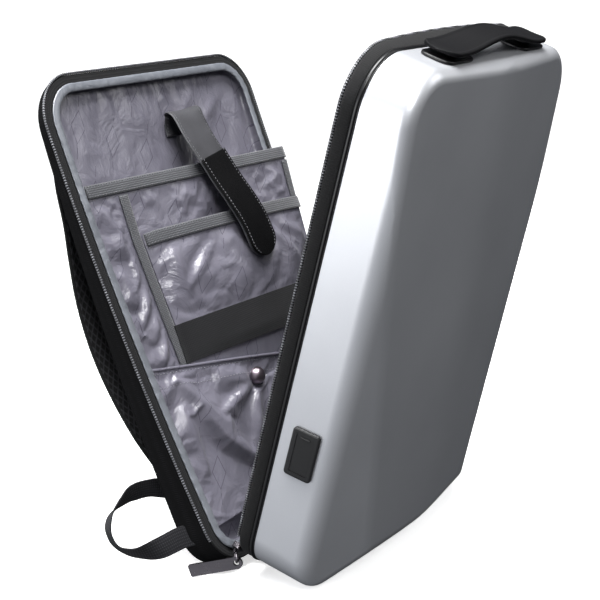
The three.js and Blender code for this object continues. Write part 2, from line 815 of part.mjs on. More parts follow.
// Webbing from the strap's end, out in a loose loop, back to the side wall's lower corner.
// Its route, chosen by hand: side is a share of half the pack's width, behind of the strap's bow and
// height of the pack's height; turn is the way that its width points, for the right-hand loop. The
// last two points lie against the side wall.
const webRoute = [
  { side: 0.64, behind: 0.7115, height: 0.168, turn: [0, 0, 1] },
  { side: 0.74, behind: 0.7, height: 0.168, turn: [-0.08, -0.15, 0.98] },
  { side: 0.843, behind: 0.742, height: 0.1734, turn: [-0.12, -0.38, 0.91] },
  { side: 0.93, behind: 0.926, height: 0.1883, turn: [0.15, -0.58, 0.8] },
  { side: 1.012, behind: 1.088, height: 0.1931, turn: [0.25, -0.56, 0.78] },
  { side: 1.074, behind: 1.221, height: 0.1858, turn: [0.6, -0.62, 0.47] },
  { side: 1.137, behind: 1.387, height: 0.1712, turn: [0.56, -0.8, 0.12] },
  { side: 1.173, behind: 1.494, height: 0.148, turn: [0.52, -0.84, -0.08] },
  { side: 1.176, behind: 1.522, height: 0.1228, turn: [0.53, -0.89, 0.11] },
  { side: 1.164, behind: 1.487, height: 0.1045, turn: [0.55, -0.87, 0.18] },
  { side: 1.141, behind: 1.395, height: 0.0908, turn: [0.5, -0.84, 0.37] },
  { side: 1.112, behind: 1.256, height: 0.0808, turn: [0.43, -0.72, 0.56] },
  { side: 1.08, behind: 1.071, height: 0.0765, turn: [0.3, -0.35, 0.88] },
  { side: 1.053, behind: 0.862, height: 0.0775, turn: [0.1, -0.05, 1] },
  { side: 1.022, behind: 0.651, height: 0.0815, turn: [0, 0, 1] },
  { side: 1, behind: 0.5, height: 0.084, turn: [0, 0, 1] },
  { side: 1, behind: 0.2, height: 0.0842, turn: [0, 0, 1] },
];

function webbing(side) {
  const onWall = halfWidth + fitGap + webThick / 2 + 0.05;
  const stations = webRoute.map((row) => ({
    centre: inBack(
      side * (row.side === 1 ? onWall : row.side * halfWidth),
      row.behind * strapBow,
      row.height * packHeight,
    ),
    across: vec(side * row.turn[0], row.turn[1], row.turn[2]),
    width: webWidth,
    thick: webThick,
  }));
  return strip(stations, flatSection);
}

function backHalf() {
  const group = new THREE.Group();
  const pocket = piece('lower_pocket', lowerPocket(), 'lining');
  group.add(
    piece('back_tray', backTray(), 'black'),
    piece('back_tape', backTape(), 'black'),
    piece('back_zip', backZip(), 'trim'),
    piece('lining', lining(), 'lining'),
    piece('laptop_sleeve', sleeve(), 'lining'),
    piece('tablet_pocket', tabletPocket(), 'lining'),
    pocket,
    ...bindings(),
    piece('elastic_band', elasticBand(), 'elastic'),
    piece('snap_button', snapButton(pocket), 'gunmetal'),
    ...keeperPieces(),
    piece('shoulder_strap_left', shoulderStrap(-1), 'mesh'),
    piece('shoulder_strap_right', shoulderStrap(1), 'mesh'),
    piece('webbing_left', webbing(-1), 'web'),
    piece('webbing_right', webbing(1), 'web'),
  );
  return group;
}

// Zip slider at the lower left corner of the shell's zip, with the bridge that carries its ring.
function zipSlider(shellFrame) {
  const angle = turn(sliderAngle);
  const out = vec(Math.cos(angle), 0, Math.sin(angle));
  const corner = vec(bottomRadius - halfWidth, bandEnd + fitGap + sliderWidth / 2, bottomRadius);
  const seat = shellFrame(corner.clone().addScaledVector(out, bottomRadius));
  const outward = shellFrame(corner.clone().addScaledVector(out, bottomRadius + 1)).sub(seat).normalize();
  const across = shellFrame(vec(0, 1, 0)).sub(shellFrame(vec(0, 0, 0))).normalize();
  const along = across.clone().cross(outward).normalize();
  const frame = new THREE.Matrix4().makeBasis(along, across, outward).setPosition(seat);
  const top = 0.4 * sliderThick;
  const body = roundedPlate(sliderLength, sliderWidth, sliderThick, 3).translate(0, 0, top - sliderThick);
  const bridge = new THREE.TorusGeometry(bridgeRadius, bridgeWire, 6, 16).rotateX(Math.PI / 2);
  bridge.translate(0, 0, top + bridgeWire);
  const hang = vec(0, 0, top + bridgeRadius - ringWire - 1.7 * fitGap).applyMatrix4(frame);
  return { body: geometryOf(solidOf(body).add(solidOf(bridge))).applyMatrix4(frame), hang };
}

// The ring hangs straight down from the bridge, turned between the bridge and the pull's eye.
function zipRing(hang) {
  const ring = new THREE.TorusGeometry(ringRadius, ringWire, 6, 18);
  ring.rotateX(Math.PI / 2).rotateZ(turn(ringTurn));
  return ring.translate(hang.x, hang.y, hang.z - ringRadius);
}

// Flat pull with a round eye, its face upright and its tip down by the floor.
function zipPull(hang) {
  const shape = new THREE.Shape();
  const half = pullWidth / 2;
  shape.absarc(0, 0, half, Math.PI / 2, 1.5 * Math.PI);
  shape.lineTo(pullLength - half - 1, -half);
  shape.lineTo(pullLength - half, 1 - half);
  shape.lineTo(pullLength - half, half - 1);
  shape.lineTo(pullLength - half - 1, half);
  const eye = new THREE.Path();
  eye.absarc(0, 0, pullEye, 0, 2 * Math.PI, true);
  shape.holes.push(eye);
  const blank = new THREE.ExtrudeGeometry(shape, { depth: pullThick, bevelEnabled: false, curveSegments: 8 });
  blank.translate(0, 0, -pullThick / 2);
  const dip = turn(pullDrop);
  const level = turn(pullTurn);
  const along = vec(Math.cos(level) * Math.cos(dip), Math.sin(level) * Math.cos(dip), -Math.sin(dip));
  const face = vec(Math.sin(level), -Math.cos(level), 0);
  const rise = face.clone().cross(along);
  const slack = pullEye - ringWire - 2.4 * fitGap;
  const seat = vec(hang.x, hang.y, hang.z - 2 * ringRadius - slack);
  return blank.applyMatrix4(new THREE.Matrix4().makeBasis(along, rise, face).setPosition(seat));
}

// Assembly: each half stands on its own lowest edge, and the back half follows behind the hinge span.
const pack = new THREE.Group();
const shellGroup = shellHalf();
const backGroup = backHalf();
shellGroup.rotation.x = turn(shellLean);
backGroup.rotation.x = -turn(backLean);
backGroup.position.y = hingeSpan;
pack.add(shellGroup, backGroup);

function standOnFloor(group, name) {
  pack.updateMatrixWorld(true);
  const box = new THREE.Box3().setFromObject(group.getObjectByName(name), true);
  group.position.z -= box.min.z;
  pack.updateMatrixWorld(true);
}
standOnFloor(shellGroup, 'shell');
standOnFloor(backGroup, 'back_tray');

// Cloth hinge strip from the shell's band to the back half's tape, sagging a little between them.
function hingeStrip() {
  const half = halfWidth - bottomRadius - 4;
  const start = shellGroup.localToWorld(vec(0, bandEnd + 1.1, bandWall / 2));
  const end = backGroup.localToWorld(inBack(0, -fitGap - tapeThick - 0.9, bandWall / 2));
  const sections = spread(0, 1, 6).map((t) => {
    const y = mix(start.y, end.y, t);
    const z = mix(start.z, end.z, t) - 3 * Math.sin(Math.PI * t);
    return { centre: vec(0, y, z), across: vec(1, 0, 0), width: 2 * half, thick: 1.4 };
  });
  return strip(sections, flatSection);
}
pack.add(piece('hinge_strip', hingeStrip(), 'black'));

const slider = zipSlider((p) => shellGroup.localToWorld(p.clone()));
pack.add(
  piece('zip_slider', slider.body, 'gunmetal'),
  piece('zip_ring', zipRing(slider.hang), 'gunmetal'),
  piece('zip_pull', zipPull(slider.hang), 'gunmetal'),
);

// The origin is the middle of the whole pack's footprint.
pack.updateMatrixWorld(true);
const bounds = new THREE.Box3().setFromObject(pack, true);
const centre = bounds.getCenter(vec());
pack.position.set(-centre.x, -centre.y, -bounds.min.z);

export default pack;
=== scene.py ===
import bmesh
import bpy
import json
import math
import numpy as np
from mathutils import Matrix, Vector


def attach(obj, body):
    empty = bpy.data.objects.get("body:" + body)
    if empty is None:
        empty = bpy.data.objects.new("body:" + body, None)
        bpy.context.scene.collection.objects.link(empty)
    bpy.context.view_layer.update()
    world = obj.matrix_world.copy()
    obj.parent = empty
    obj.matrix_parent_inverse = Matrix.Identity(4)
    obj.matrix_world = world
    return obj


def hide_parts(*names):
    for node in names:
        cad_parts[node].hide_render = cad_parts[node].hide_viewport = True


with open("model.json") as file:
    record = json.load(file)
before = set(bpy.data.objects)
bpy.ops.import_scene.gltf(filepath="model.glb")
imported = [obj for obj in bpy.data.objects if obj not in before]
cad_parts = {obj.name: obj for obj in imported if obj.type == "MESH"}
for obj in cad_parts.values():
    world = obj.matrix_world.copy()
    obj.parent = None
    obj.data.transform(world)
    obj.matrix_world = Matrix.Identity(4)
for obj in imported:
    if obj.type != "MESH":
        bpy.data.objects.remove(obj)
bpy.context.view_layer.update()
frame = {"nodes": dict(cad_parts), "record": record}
print("frame loaded")

# Whole pack, in millimetres and degrees. Each half is drawn upright in its own frame: y = 0 is its rim.
pack = {
    "width": 300, "height": 440,
    "topRadius": 42, "bottomRadius": 36,
    "shellLean": 18.2, "backLean": 21.1,
    "hingeSpan": 31,
    "gap": 0.3,
    "bandStart": 4.6, "bandEnd": 15.2, "bandCrown": 6,
    "arcSteps": 14, "sideSteps": 90, "crossSteps": 56,
}
halfWidth = pack["width"] / 2
restPoint = np.array(frame["record"]["mounts"][0]["pos_m"]) * 1000  # middle of the shell's lower wall
shellTurn = math.radians(pack["shellLean"])
backTurn = math.radians(pack["backLean"])
underside = 24  # from the rim to that point
shellSpot = Vector((0, restPoint[1] + underside * math.cos(shellTurn),
                    restPoint[2] + underside * math.sin(shellTurn)))
trayHeel = 22  # from the tray's rim back to the edge that it stands on
backSpot = Vector((0, shellSpot.y + pack["hingeSpan"], trayHeel * math.sin(backTurn)))
places = {
    "shell": Matrix.Translation(shellSpot / 1000) @ Matrix.Rotation(shellTurn, 4, "X"),
    "back": Matrix.Translation(backSpot / 1000) @ Matrix.Rotation(-backTurn, 4, "X"),
    "pack": Matrix.Identity(4),
}


# Shared tools.
def linear(hexCode):
    parts = [int(hexCode[i:i + 2], 16) / 255 for i in (1, 3, 5)]
    return [c / 12.92 if c <= 0.04045 else ((c + 0.055) / 1.055) ** 2.4 for c in parts] + [1]


def addNode(tree, kind, inputs=None, **settings):
    made = tree.nodes.new("ShaderNode" + kind)
    for key, value in settings.items():
        setattr(made, key, value)
    for key, value in (inputs or {}).items():
        if isinstance(value, bpy.types.NodeSocket):
            tree.links.new(value, made.inputs[key])
        else:
            made.inputs[key].default_value = value
    return made


def newMaterial(name, **surface):
    made = bpy.data.materials.new(name)
    made.use_nodes = True
    shader = made.node_tree.nodes["Principled BSDF"]
    for key, value in surface.items():
        shader.inputs[key.replace("_", " ")].default_value = value
    return made, made.node_tree, shader


def wavePitch(size):
    return 2 * math.pi / 20 / (size / 1000)  # wave texture scale for one band every size millimetres


def lerp(a, b, t):
    return a + (b - a) * t


def reach(value, low, high):
    return np.clip((value - low) / (high - low), 0, 1)


def dress(made, slot, *nodes):
    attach(made, "root")
    if nodes:
        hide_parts(*nodes)
    return made


def addObject(name, points, faces, material, place, uv=None, sharp=None):
    mesh = bpy.data.meshes.new(name)
    mesh.from_pydata((np.asarray(points, float) / 1000).tolist(), [], faces)
    mesh.transform(places[place])
    if uv is not None:
        layer = mesh.uv_layers.new(name="cloth")
        layer.data.foreach_set("uv", np.asarray(uv, np.float32).ravel())
    mesh.polygons.foreach_set("use_smooth", np.ones(len(mesh.polygons), bool))
    if sharp:
        mesh.set_sharp_from_angle(angle=math.radians(sharp))
    mesh.materials.append(material)
    made = bpy.data.objects.new(name, mesh)
    bpy.context.scene.collection.objects.link(made)
    return made


def signedVolume(points, quads):
    a, b, c, d = (points[quads[:, k]] for k in range(4))
    return (np.einsum("ij,ij->", a, np.cross(b, c)) + np.einsum("ij,ij->", a, np.cross(c, d))) / 6


def lengthAlong(points):
    return np.concatenate([[0], np.cumsum(np.linalg.norm(np.diff(points, axis=0), axis=1))])


# Surface over rows of points. A ring joins the last row to the first, and caps close the two ends.
# The pattern runs along and around the rows, or lies as flat says, in metres for each point.
def skin(name, rows, material, place, ring=False, caps=(True, True), sharp=None, flat=None):
    rows = np.asarray(rows, float)
    count, wide = rows.shape[:2]
    r = np.arange(count if ring else count - 1)
    i = np.arange(wide)
    rr, ii = (g.ravel() for g in np.meshgrid(r, i, indexing="ij"))
    r2, i2 = (rr + 1) % count, (ii + 1) % wide
    quads = np.stack([rr * wide + ii, rr * wide + i2, r2 * wide + i2, r2 * wide + ii], 1)
    middle = rows[count // 2]
    across = lengthAlong(np.vstack([middle, middle[:1]])) / 1000
    side = rows[:, wide // 3]
    along = lengthAlong(np.vstack([side, side[:1]])) / 1000
    uv = np.stack([
        np.stack([along[rr], across[ii]], 1), np.stack([along[rr], across[ii + 1]], 1),
        np.stack([along[rr + 1], across[ii + 1]], 1), np.stack([along[rr + 1], across[ii]], 1),
    ], 1)
    points = rows.reshape(-1, 3)
    if flat is not None:
        uv = np.asarray(flat).reshape(-1, 2)[quads]
    flip = signedVolume(points, quads) < 0
    if flip:
        quads, uv = quads[:, ::-1], uv[:, ::-1]
    faces = quads.tolist()
    corners = uv.reshape(-1, 2).tolist()
    if not ring:
        for row, turned, closed in ((0, not flip, caps[0]), (count - 1, flip, caps[1])):
            if not closed:
                continue
            hub = len(points)
            points = np.vstack([points, rows[row].mean(0)])
            for k in range(wide):
                a, b = row * wide + k, row * wide + (k + 1) % wide
                faces.append([hub, b, a] if turned else [hub, a, b])
                corners += [[along[row], 0]] * 3
    return addObject(name, points, faces, material, place, corners, sharp)


# Cloth of an even thickness behind a grid of points, closed by a flat rim.
def slab(name, grid, thick, material, place):
    grid = np.asarray(grid, float)
    normal = np.cross(np.gradient(grid, axis=1), np.gradient(grid, axis=0))
    normal /= np.linalg.norm(normal, axis=2, keepdims=True)
    count, wide = grid.shape[:2]
    back = grid - normal * thick
    points = np.vstack([grid.reshape(-1, 3), back.reshape(-1, 3)])
    r, c = (g.ravel() for g in np.meshgrid(np.arange(count - 1), np.arange(wide - 1), indexing="ij"))
    a = r * wide + c
    front = np.stack([a, a + 1, a + wide + 1, a + wide], 1)
    rear = count * wide + np.stack([a, a + wide, a + wide + 1, a + 1], 1)
    rim = np.concatenate([
        np.arange(wide), np.arange(1, count) * wide + wide - 1,
        (count - 1) * wide + np.arange(wide - 2, -1, -1), np.arange(count - 2, 0, -1) * wide])
    following = np.roll(rim, -1)
    edge = np.stack([following, rim, rim + count * wide, following + count * wide], 1)
    quads = np.vstack([front, rear, edge])
    flat = np.stack([grid[..., 0].ravel(), grid[..., 2].ravel()], 1) / 1000
    uv = np.vstack([flat, flat])[quads]
    if signedVolume(points, quads) < 0:
        quads, uv = quads[:, ::-1], uv[:, ::-1]
    return addObject(name, points, quads.tolist(), material, place, uv, sharp=60)


def smoothPath(points, steps):
    points = np.asarray(points, float)
    padded = np.vstack([2 * points[0] - points[1], points, 2 * points[-1] - points[-2]])
    out = []
    for t in np.linspace(0, len(points) - 1, steps):
        k = min(int(t), len(points) - 2)
        f = t - k
        a, b, c, d = padded[k:k + 4]
        out.append(0.5 * (2 * b + (c - a) * f + (2 * a - 5 * b + 4 * c - d) * f * f
                          + (3 * b - a - 3 * c + d) * f ** 3))
    return np.array(out)


# Strip whose section is drawn in shares of its width and thickness.
def strip(centres, across, width, thick, section):
    centres = np.asarray(centres, float)
    along = np.gradient(centres, axis=0)
    along /= np.linalg.norm(along, axis=1, keepdims=True)
    side = np.broadcast_to(np.asarray(across, float), centres.shape).copy()
    side -= along * np.sum(side * along, axis=1, keepdims=True)
    side /= np.linalg.norm(side, axis=1, keepdims=True)
    out = np.cross(along, side)
    width = np.broadcast_to(width, len(centres))
    thick = np.broadcast_to(thick, len(centres))
    section = np.asarray(section)
    return (centres[:, None] + side[:, None] * (section[None, :, :1] * width[:, None, None])
            + out[:, None] * (section[None, :, 1:] * thick[:, None, None]))


# Half a cosine or sine wave, squared off by a power below 1.
def blunt(wave, power):
    return np.sign(wave) * np.abs(wave) ** power / 2


def roundSection(steps, bluntWide, bluntHigh):
    a = np.linspace(0, 2 * np.pi, steps, endpoint=False)
    return np.stack([blunt(np.cos(a), bluntWide), blunt(np.sin(a), bluntHigh)], 1)


def tube(name, path, radius, material, place, ring=False):
    path = np.asarray(path, float)
    along = (np.roll(path, -1, 0) - np.roll(path, 1, 0)) if ring else np.gradient(path, axis=0)
    along /= np.linalg.norm(along, axis=1, keepdims=True)
    up = np.zeros_like(path)
    up[:, 1] = 1
    up -= along * np.sum(up * along, axis=1, keepdims=True)
    up /= np.linalg.norm(up, axis=1, keepdims=True)
    out = np.cross(along, up)
    a = np.linspace(0, 2 * np.pi, 10, endpoint=False)
    rows = path[:, None] + radius * (up[:, None] * np.cos(a)[:, None] + out[:, None] * np.sin(a)[:, None])
    return skin(name, rows, material, place, ring=ring)


# Thread seen as short raised stitches along a path.
def stitches(name, path, outward, place, pitch=3.2, long=2.1, thick=0.34, material=None):
    path = np.asarray(path, float)
    outward = np.broadcast_to(np.asarray(outward, float), path.shape)
    lengths = lengthAlong(path)
    spots = np.arange(pitch / 2, lengths[-1], pitch)
    points, faces = [], []
    for s in spots:
        at, before, after = (np.array([np.interp(t, lengths, path[:, k]) for k in range(3)])
                             for t in (s, s - long / 2, s + long / 2))
        up = np.array([np.interp(s, lengths, outward[:, k]) for k in range(3)])
        up /= np.linalg.norm(up)
        along = after - before
        side = np.cross(along, up)
        side *= thick / max(np.linalg.norm(side), 1e-6)
        base = len(points)
        points += [before - up * 0.1, after - up * 0.1, at + side, at + up * thick, at - side,
                   at - up * thick]
        faces += [[base, base + 2 + k, base + 2 + (k + 1) % 4] for k in range(4)]
        faces += [[base + 1, base + 2 + (k + 1) % 4, base + 2 + k] for k in range(4)]
    return addObject(name, points, faces, material, place)


# Outline of the pack, as in its rim plane.
def outline(inset, crown=0, drop=0):
    half = halfWidth - inset
    low, high = inset - drop, pack["height"] - inset
    topR, lowR = max(pack["topRadius"] - inset, 2), max(pack["bottomRadius"] - inset, 2)
    out = []

    def arc(x, z, radius, start):
        a = np.radians(start + np.linspace(0, 90, pack["arcSteps"] + 1))
        out.append(np.stack([x + radius * np.cos(a), z + radius * np.sin(a)], 1))

    def line(steps, x0, z0, x1, z1):
        t = np.arange(1, steps) / steps
        out.append(np.stack([lerp(x0, x1, t), lerp(z0, z1, t)], 1))

    arc(half - lowR, low + lowR, lowR, -90)
    line(pack["sideSteps"], half, low + lowR, half, high - topR)
    arc(half - topR, high - topR, topR, 0)
    line(pack["crossSteps"], half - topR, high, topR - half, high)
    arc(topR - half, high - topR, topR, 90)
    line(pack["sideSteps"], -half, high - topR, -half, low + lowR)
    arc(lowR - half, low + lowR, lowR, 180)
    line(pack["crossSteps"], lowR - half, low, half - lowR, low)
    points = np.vstack(out)
    upper = points[:, 1] > pack["height"] / 2
    points[upper, 1] += crown * (1 - (points[upper, 0] / half) ** 2)
    return points


def swept(profile, lift=lambda z: 0 * z):
    rows = []
    for y, inset, crown in profile:
        p = outline(inset, crown)
        rows.append(np.stack([p[:, 0], y + lift(p[:, 1]), p[:, 1]], 1))
    return np.array(rows)


def overTop(inset, y, crown=0, lift=lambda z: 0 * z):
    p = outline(inset, crown)
    a, s, c = pack["arcSteps"], pack["sideSteps"], pack["crossSteps"]
    p = p[round(a * 5 / 6):3 * a + 2 * s + c + round(a / 6) + 1]
    return np.stack([p[:, 0], y + lift(p[:, 1]), p[:, 1]], 1)


# Materials.
# Silver metallic lacquer on moulded ABS: a satin body colour with fine bright flakes under a thin coat.
def lacqueredAbs():
    look = {"body": "#c0c2c7", "flake": "#d6d8dc", "grain": 0.45, "roughness": 0.36}
    made, tree, shader = newMaterial("silver_lacquered_abs", Metallic=0.6, Roughness=look["roughness"],
                                     Coat_Weight=0.25, Coat_Roughness=0.25)
    spot = addNode(tree, "TexCoord").outputs["Object"]
    flakes = addNode(tree, "TexVoronoi", {"Vector": spot, "Scale": 1000 / look["grain"]})
    cloud = addNode(tree, "TexNoise", {"Vector": spot, "Scale": 9, "Detail": 3})
    blend = addNode(tree, "Math", {0: flakes.outputs["Distance"], 1: 0.25}, operation="MULTIPLY")
    both = addNode(tree, "Math", {0: blend.outputs[0], 1: cloud.outputs["Fac"]}, operation="ADD")
    tone = addNode(tree, "Mix", {0: both.outputs[0], 6: linear(look["body"]), 7: linear(look["flake"])},
                   data_type="RGBA")
    tree.links.new(tone.outputs[2], shader.inputs["Base Color"])
    bump = addNode(tree, "Bump", {"Strength": 0.06, "Distance": 0.0002, "Height": flakes.outputs["Distance"]})
    tree.links.new(bump.outputs[0], shader.inputs["Normal"])
    return made


# Soft-touch TPE, injection moulded and lightly spark eroded: matt black with a faint grain.
def mouldedRubber(name, body, roughness, grain=0.9, gloss=0.5):
    made, tree, shader = newMaterial(name, Roughness=roughness, IOR=1.5, Specular_IOR_Level=gloss)
    spot = addNode(tree, "TexCoord").outputs["Object"]
    fine = addNode(tree, "TexNoise", {"Vector": spot, "Scale": 1000 / grain, "Detail": 2})
    wide = addNode(tree, "TexNoise", {"Vector": spot, "Scale": 22, "Detail": 4})
    ramp = addNode(tree, "MapRange", {0: wide.outputs["Fac"], 1: 0.3, 2: 0.7, 3: 0.8, 4: 1.25})
    tone = addNode(tree, "Mix", {0: 1, 6: linear(body), 7: ramp.outputs[0]}, data_type="RGBA",
                   blend_type="MULTIPLY")
    tree.links.new(tone.outputs[2], shader.inputs["Base Color"])
    bump = addNode(tree, "Bump", {"Strength": 0.25, "Distance": 0.0002, "Height": fine.outputs["Fac"]})
    tree.links.new(bump.outputs[0], shader.inputs["Normal"])
    return made


# Ribbed woven cloth or webbing, from dyed polyester yarn: ribs across it at one pitch, yarns at another.
def ribbedCloth(name, body, light, rib, yarn, roughness=0.85, sheen=0.05, depth=0.3, turned=False,
                gloss=0.25):
    made, tree, shader = newMaterial(name, Roughness=roughness, Sheen_Weight=sheen, Sheen_Roughness=0.5,
                                     Specular_IOR_Level=gloss)
    spot = addNode(tree, "UVMap", uv_map="cloth").outputs[0]
    first, second = ("Y", "X") if turned else ("X", "Y")
    ribs = addNode(tree, "TexWave", {"Vector": spot, "Scale": wavePitch(rib), "Distortion": 0.6},
                   bands_direction=first)
    yarns = addNode(tree, "TexWave", {"Vector": spot, "Scale": wavePitch(yarn), "Distortion": 0.8},
                    bands_direction=second)
    weave = addNode(tree, "Math", {0: ribs.outputs["Fac"], 1: yarns.outputs["Fac"]}, operation="MULTIPLY")
    wear = addNode(tree, "TexNoise", {"Vector": spot, "Scale": 40, "Detail": 5})
    mixed = addNode(tree, "Math", {0: weave.outputs[0], 1: wear.outputs["Fac"]}, operation="MULTIPLY")
    tone = addNode(tree, "Mix", {0: mixed.outputs[0], 6: linear(body), 7: linear(light)}, data_type="RGBA")
    tree.links.new(tone.outputs[2], shader.inputs["Base Color"])
    bump = addNode(tree, "Bump", {"Strength": depth, "Distance": 0.0006, "Height": weave.outputs[0]})
    tree.links.new(bump.outputs[0], shader.inputs["Normal"])
    return made


# Knitted polyester air mesh with a diamond net over it: black, deep and matt, its net a little lighter.
def diamondMesh():
    look = {"body": "#0a0a0b", "net": "#29292c", "cell": 5.2, "hole": 1.6}
    made, tree, shader = newMaterial("diamond_air_mesh", Roughness=0.8, Sheen_Weight=0.05,
                                     Specular_IOR_Level=0.25)
    spot = addNode(tree, "UVMap", uv_map="cloth").outputs[0]
    nets = []
    for lean in (-32, 32):
        leaned = addNode(tree, "Mapping", {"Vector": spot, "Rotation": (0, 0, math.radians(lean))})
        wave = addNode(tree, "TexWave", {"Vector": leaned.outputs[0], "Scale": wavePitch(look["cell"])},
                       bands_direction="Y")
        nets.append(addNode(tree, "MapRange", {0: wave.outputs["Fac"], 1: 0.72, 2: 0.93}).outputs[0])
    net = addNode(tree, "Math", {0: nets[0], 1: nets[1]}, operation="MAXIMUM")
    holes = addNode(tree, "TexVoronoi", {"Vector": spot, "Scale": 1000 / look["hole"]})
    tone = addNode(tree, "Mix", {0: net.outputs[0], 6: linear(look["body"]), 7: linear(look["net"])},
                   data_type="RGBA")
    tree.links.new(tone.outputs[2], shader.inputs["Base Color"])
    height = addNode(tree, "Math", {0: holes.outputs["Distance"], 1: 0.4, 2: net.outputs[0]},
                     operation="MULTIPLY_ADD")
    bump = addNode(tree, "Bump", {"Strength": 0.35, "Distance": 0.0007, "Height": height.outputs[0]})
    tree.links.new(bump.outputs[0], shader.inputs["Normal"])
    return made


# Satin-woven polyester lining, creased in use, with a hairline print of open diamonds and dashes. Its colour
# is painted lighter where the crease bump rises: a painted highlight along its folds.
def satinLining(name, body, creaseHighlight, ink):
    look = {"ink": "#3b3745", "cellWide": 43, "cellHigh": 58,
            "diamondWide": 8, "diamondHigh": 15, "line": 0.05}
    made, tree, shader = newMaterial(name, Roughness=0.26, Sheen_Weight=0.1, Sheen_Roughness=0.3, IOR=1.5,
                                     Specular_IOR_Level=0.8)
    spot = addNode(tree, "UVMap", uv_map="cloth").outputs[0]
    crease = addNode(tree, "TexNoise", {"Vector": spot, "Scale": 30, "Detail": 6, "Roughness": 0.62,
                                        "Distortion": 1.1})
    # painted highlight: the noise that raises the crease bump also mixes in the lighter colour
    tone = addNode(tree, "Mix", {0: crease.outputs["Fac"], 6: linear(body), 7: linear(creaseHighlight)},
                   data_type="RGBA")
    leaned = addNode(tree, "Mapping", {"Vector": spot, "Rotation": (0, 0, math.radians(24))})
    split = addNode(tree, "SeparateXYZ", {0: leaned.outputs[0]})
    row = addNode(tree, "Math", {0: split.outputs[1], 1: 1000 / look["cellHigh"]}, operation="MULTIPLY")
    rowNumber = addNode(tree, "Math", {0: row.outputs[0]}, operation="FLOOR")
    stagger = addNode(tree, "Math", {0: rowNumber.outputs[0], 1: 0.5}, operation="MULTIPLY")
    column = addNode(tree, "Math", {0: split.outputs[0], 1: 1000 / look["cellWide"],
                                    2: stagger.outputs[0]}, operation="MULTIPLY_ADD")
    lengths = []
    for value, cell, size in ((column, "cellWide", "diamondWide"), (row, "cellHigh", "diamondHigh")):
        part = addNode(tree, "Math", {0: value.outputs[0]}, operation="FRACT")
        centred = addNode(tree, "Math", {0: part.outputs[0], 1: 0.5}, operation="SUBTRACT")
        apart = addNode(tree, "Math", {0: centred.outputs[0]}, operation="ABSOLUTE")
        lengths.append(addNode(tree, "Math", {0: apart.outputs[0], 1: look[cell] / look[size]},
                               operation="MULTIPLY"))
    ring = addNode(tree, "Math", {0: lengths[0].outputs[0], 1: lengths[1].outputs[0]}, operation="ADD")
    ringLine = addNode(tree, "Math", {0: ring.outputs[0], 1: 1, 2: look["line"]}, operation="COMPARE")
    outside = addNode(tree, "Math", {0: lengths[1].outputs[0], 1: 1.25}, operation="GREATER_THAN")
    dash = addNode(tree, "Math", {0: lengths[0].outputs[0], 1: look["line"] * 0.8}, operation="LESS_THAN")
    dashLine = addNode(tree, "Math", {0: outside.outputs[0], 1: dash.outputs[0]}, operation="MULTIPLY")
    drawing = addNode(tree, "Math", {0: ringLine.outputs[0], 1: dashLine.outputs[0]}, operation="MAXIMUM")
    inked = addNode(tree, "Math", {0: drawing.outputs[0], 1: ink}, operation="MULTIPLY")
    printed = addNode(tree, "Mix", {0: inked.outputs[0], 6: tone.outputs[2], 7: linear(look["ink"])},
                      data_type="RGBA")
    tree.links.new(printed.outputs[2], shader.inputs["Base Color"])
    drawn = addNode(tree, "Mapping", {"Vector": spot, "Rotation": (0, 0, 0.5), "Scale": (1, 0.3, 1)})
    long = addNode(tree, "TexNoise", {"Vector": drawn.outputs[0], "Scale": 75, "Detail": 3,
                                      "Distortion": 0.8})
    soft = addNode(tree, "Bump", {"Strength": 0.55, "Distance": 0.004, "Height": crease.outputs["Fac"]})
    fine = addNode(tree, "Bump", {"Strength": 0.3, "Distance": 0.0025, "Height": long.outputs["Fac"],
                                  "Normal": soft.outputs[0]})
    weave = addNode(tree, "TexNoise", {"Vector": spot, "Scale": 900, "Detail": 1})
    woven = addNode(tree, "Bump", {"Strength": 0.1, "Distance": 0.0004, "Height": weave.outputs["Fac"],
                                   "Normal": fine.outputs[0]})
    tree.links.new(woven.outputs[0], shader.inputs["Normal"])
    return made


# Split leather with a pressed fine grain, dyed charcoal and waxed: small pebbles, soft satin highlights.
def grainedLeather(name, body, light, gloss):
    made, tree, shader = newMaterial(name, Roughness=0.5, IOR=1.5, Specular_IOR_Level=gloss)
    spot = addNode(tree, "TexCoord").outputs["Object"]
    pebbles = addNode(tree, "TexVoronoi", {"Vector": spot, "Scale": 1000 / 1.3}, feature="DISTANCE_TO_EDGE")
    flat = addNode(tree, "MapRange", {0: pebbles.outputs["Distance"], 1: 0, 2: 0.25})
    patch = addNode(tree, "TexNoise", {"Vector": spot, "Scale": 60, "Detail": 4})
    tone = addNode(tree, "Mix", {0: patch.outputs["Fac"], 6: linear(body), 7: linear(light)},
                   data_type="RGBA")
    tree.links.new(tone.outputs[2], shader.inputs["Base Color"])
    bump = addNode(tree, "Bump", {"Strength": 0.35, "Distance": 0.0003, "Height": flat.outputs[0]})
    tree.links.new(bump.outputs[0], shader.inputs["Normal"])
    return made
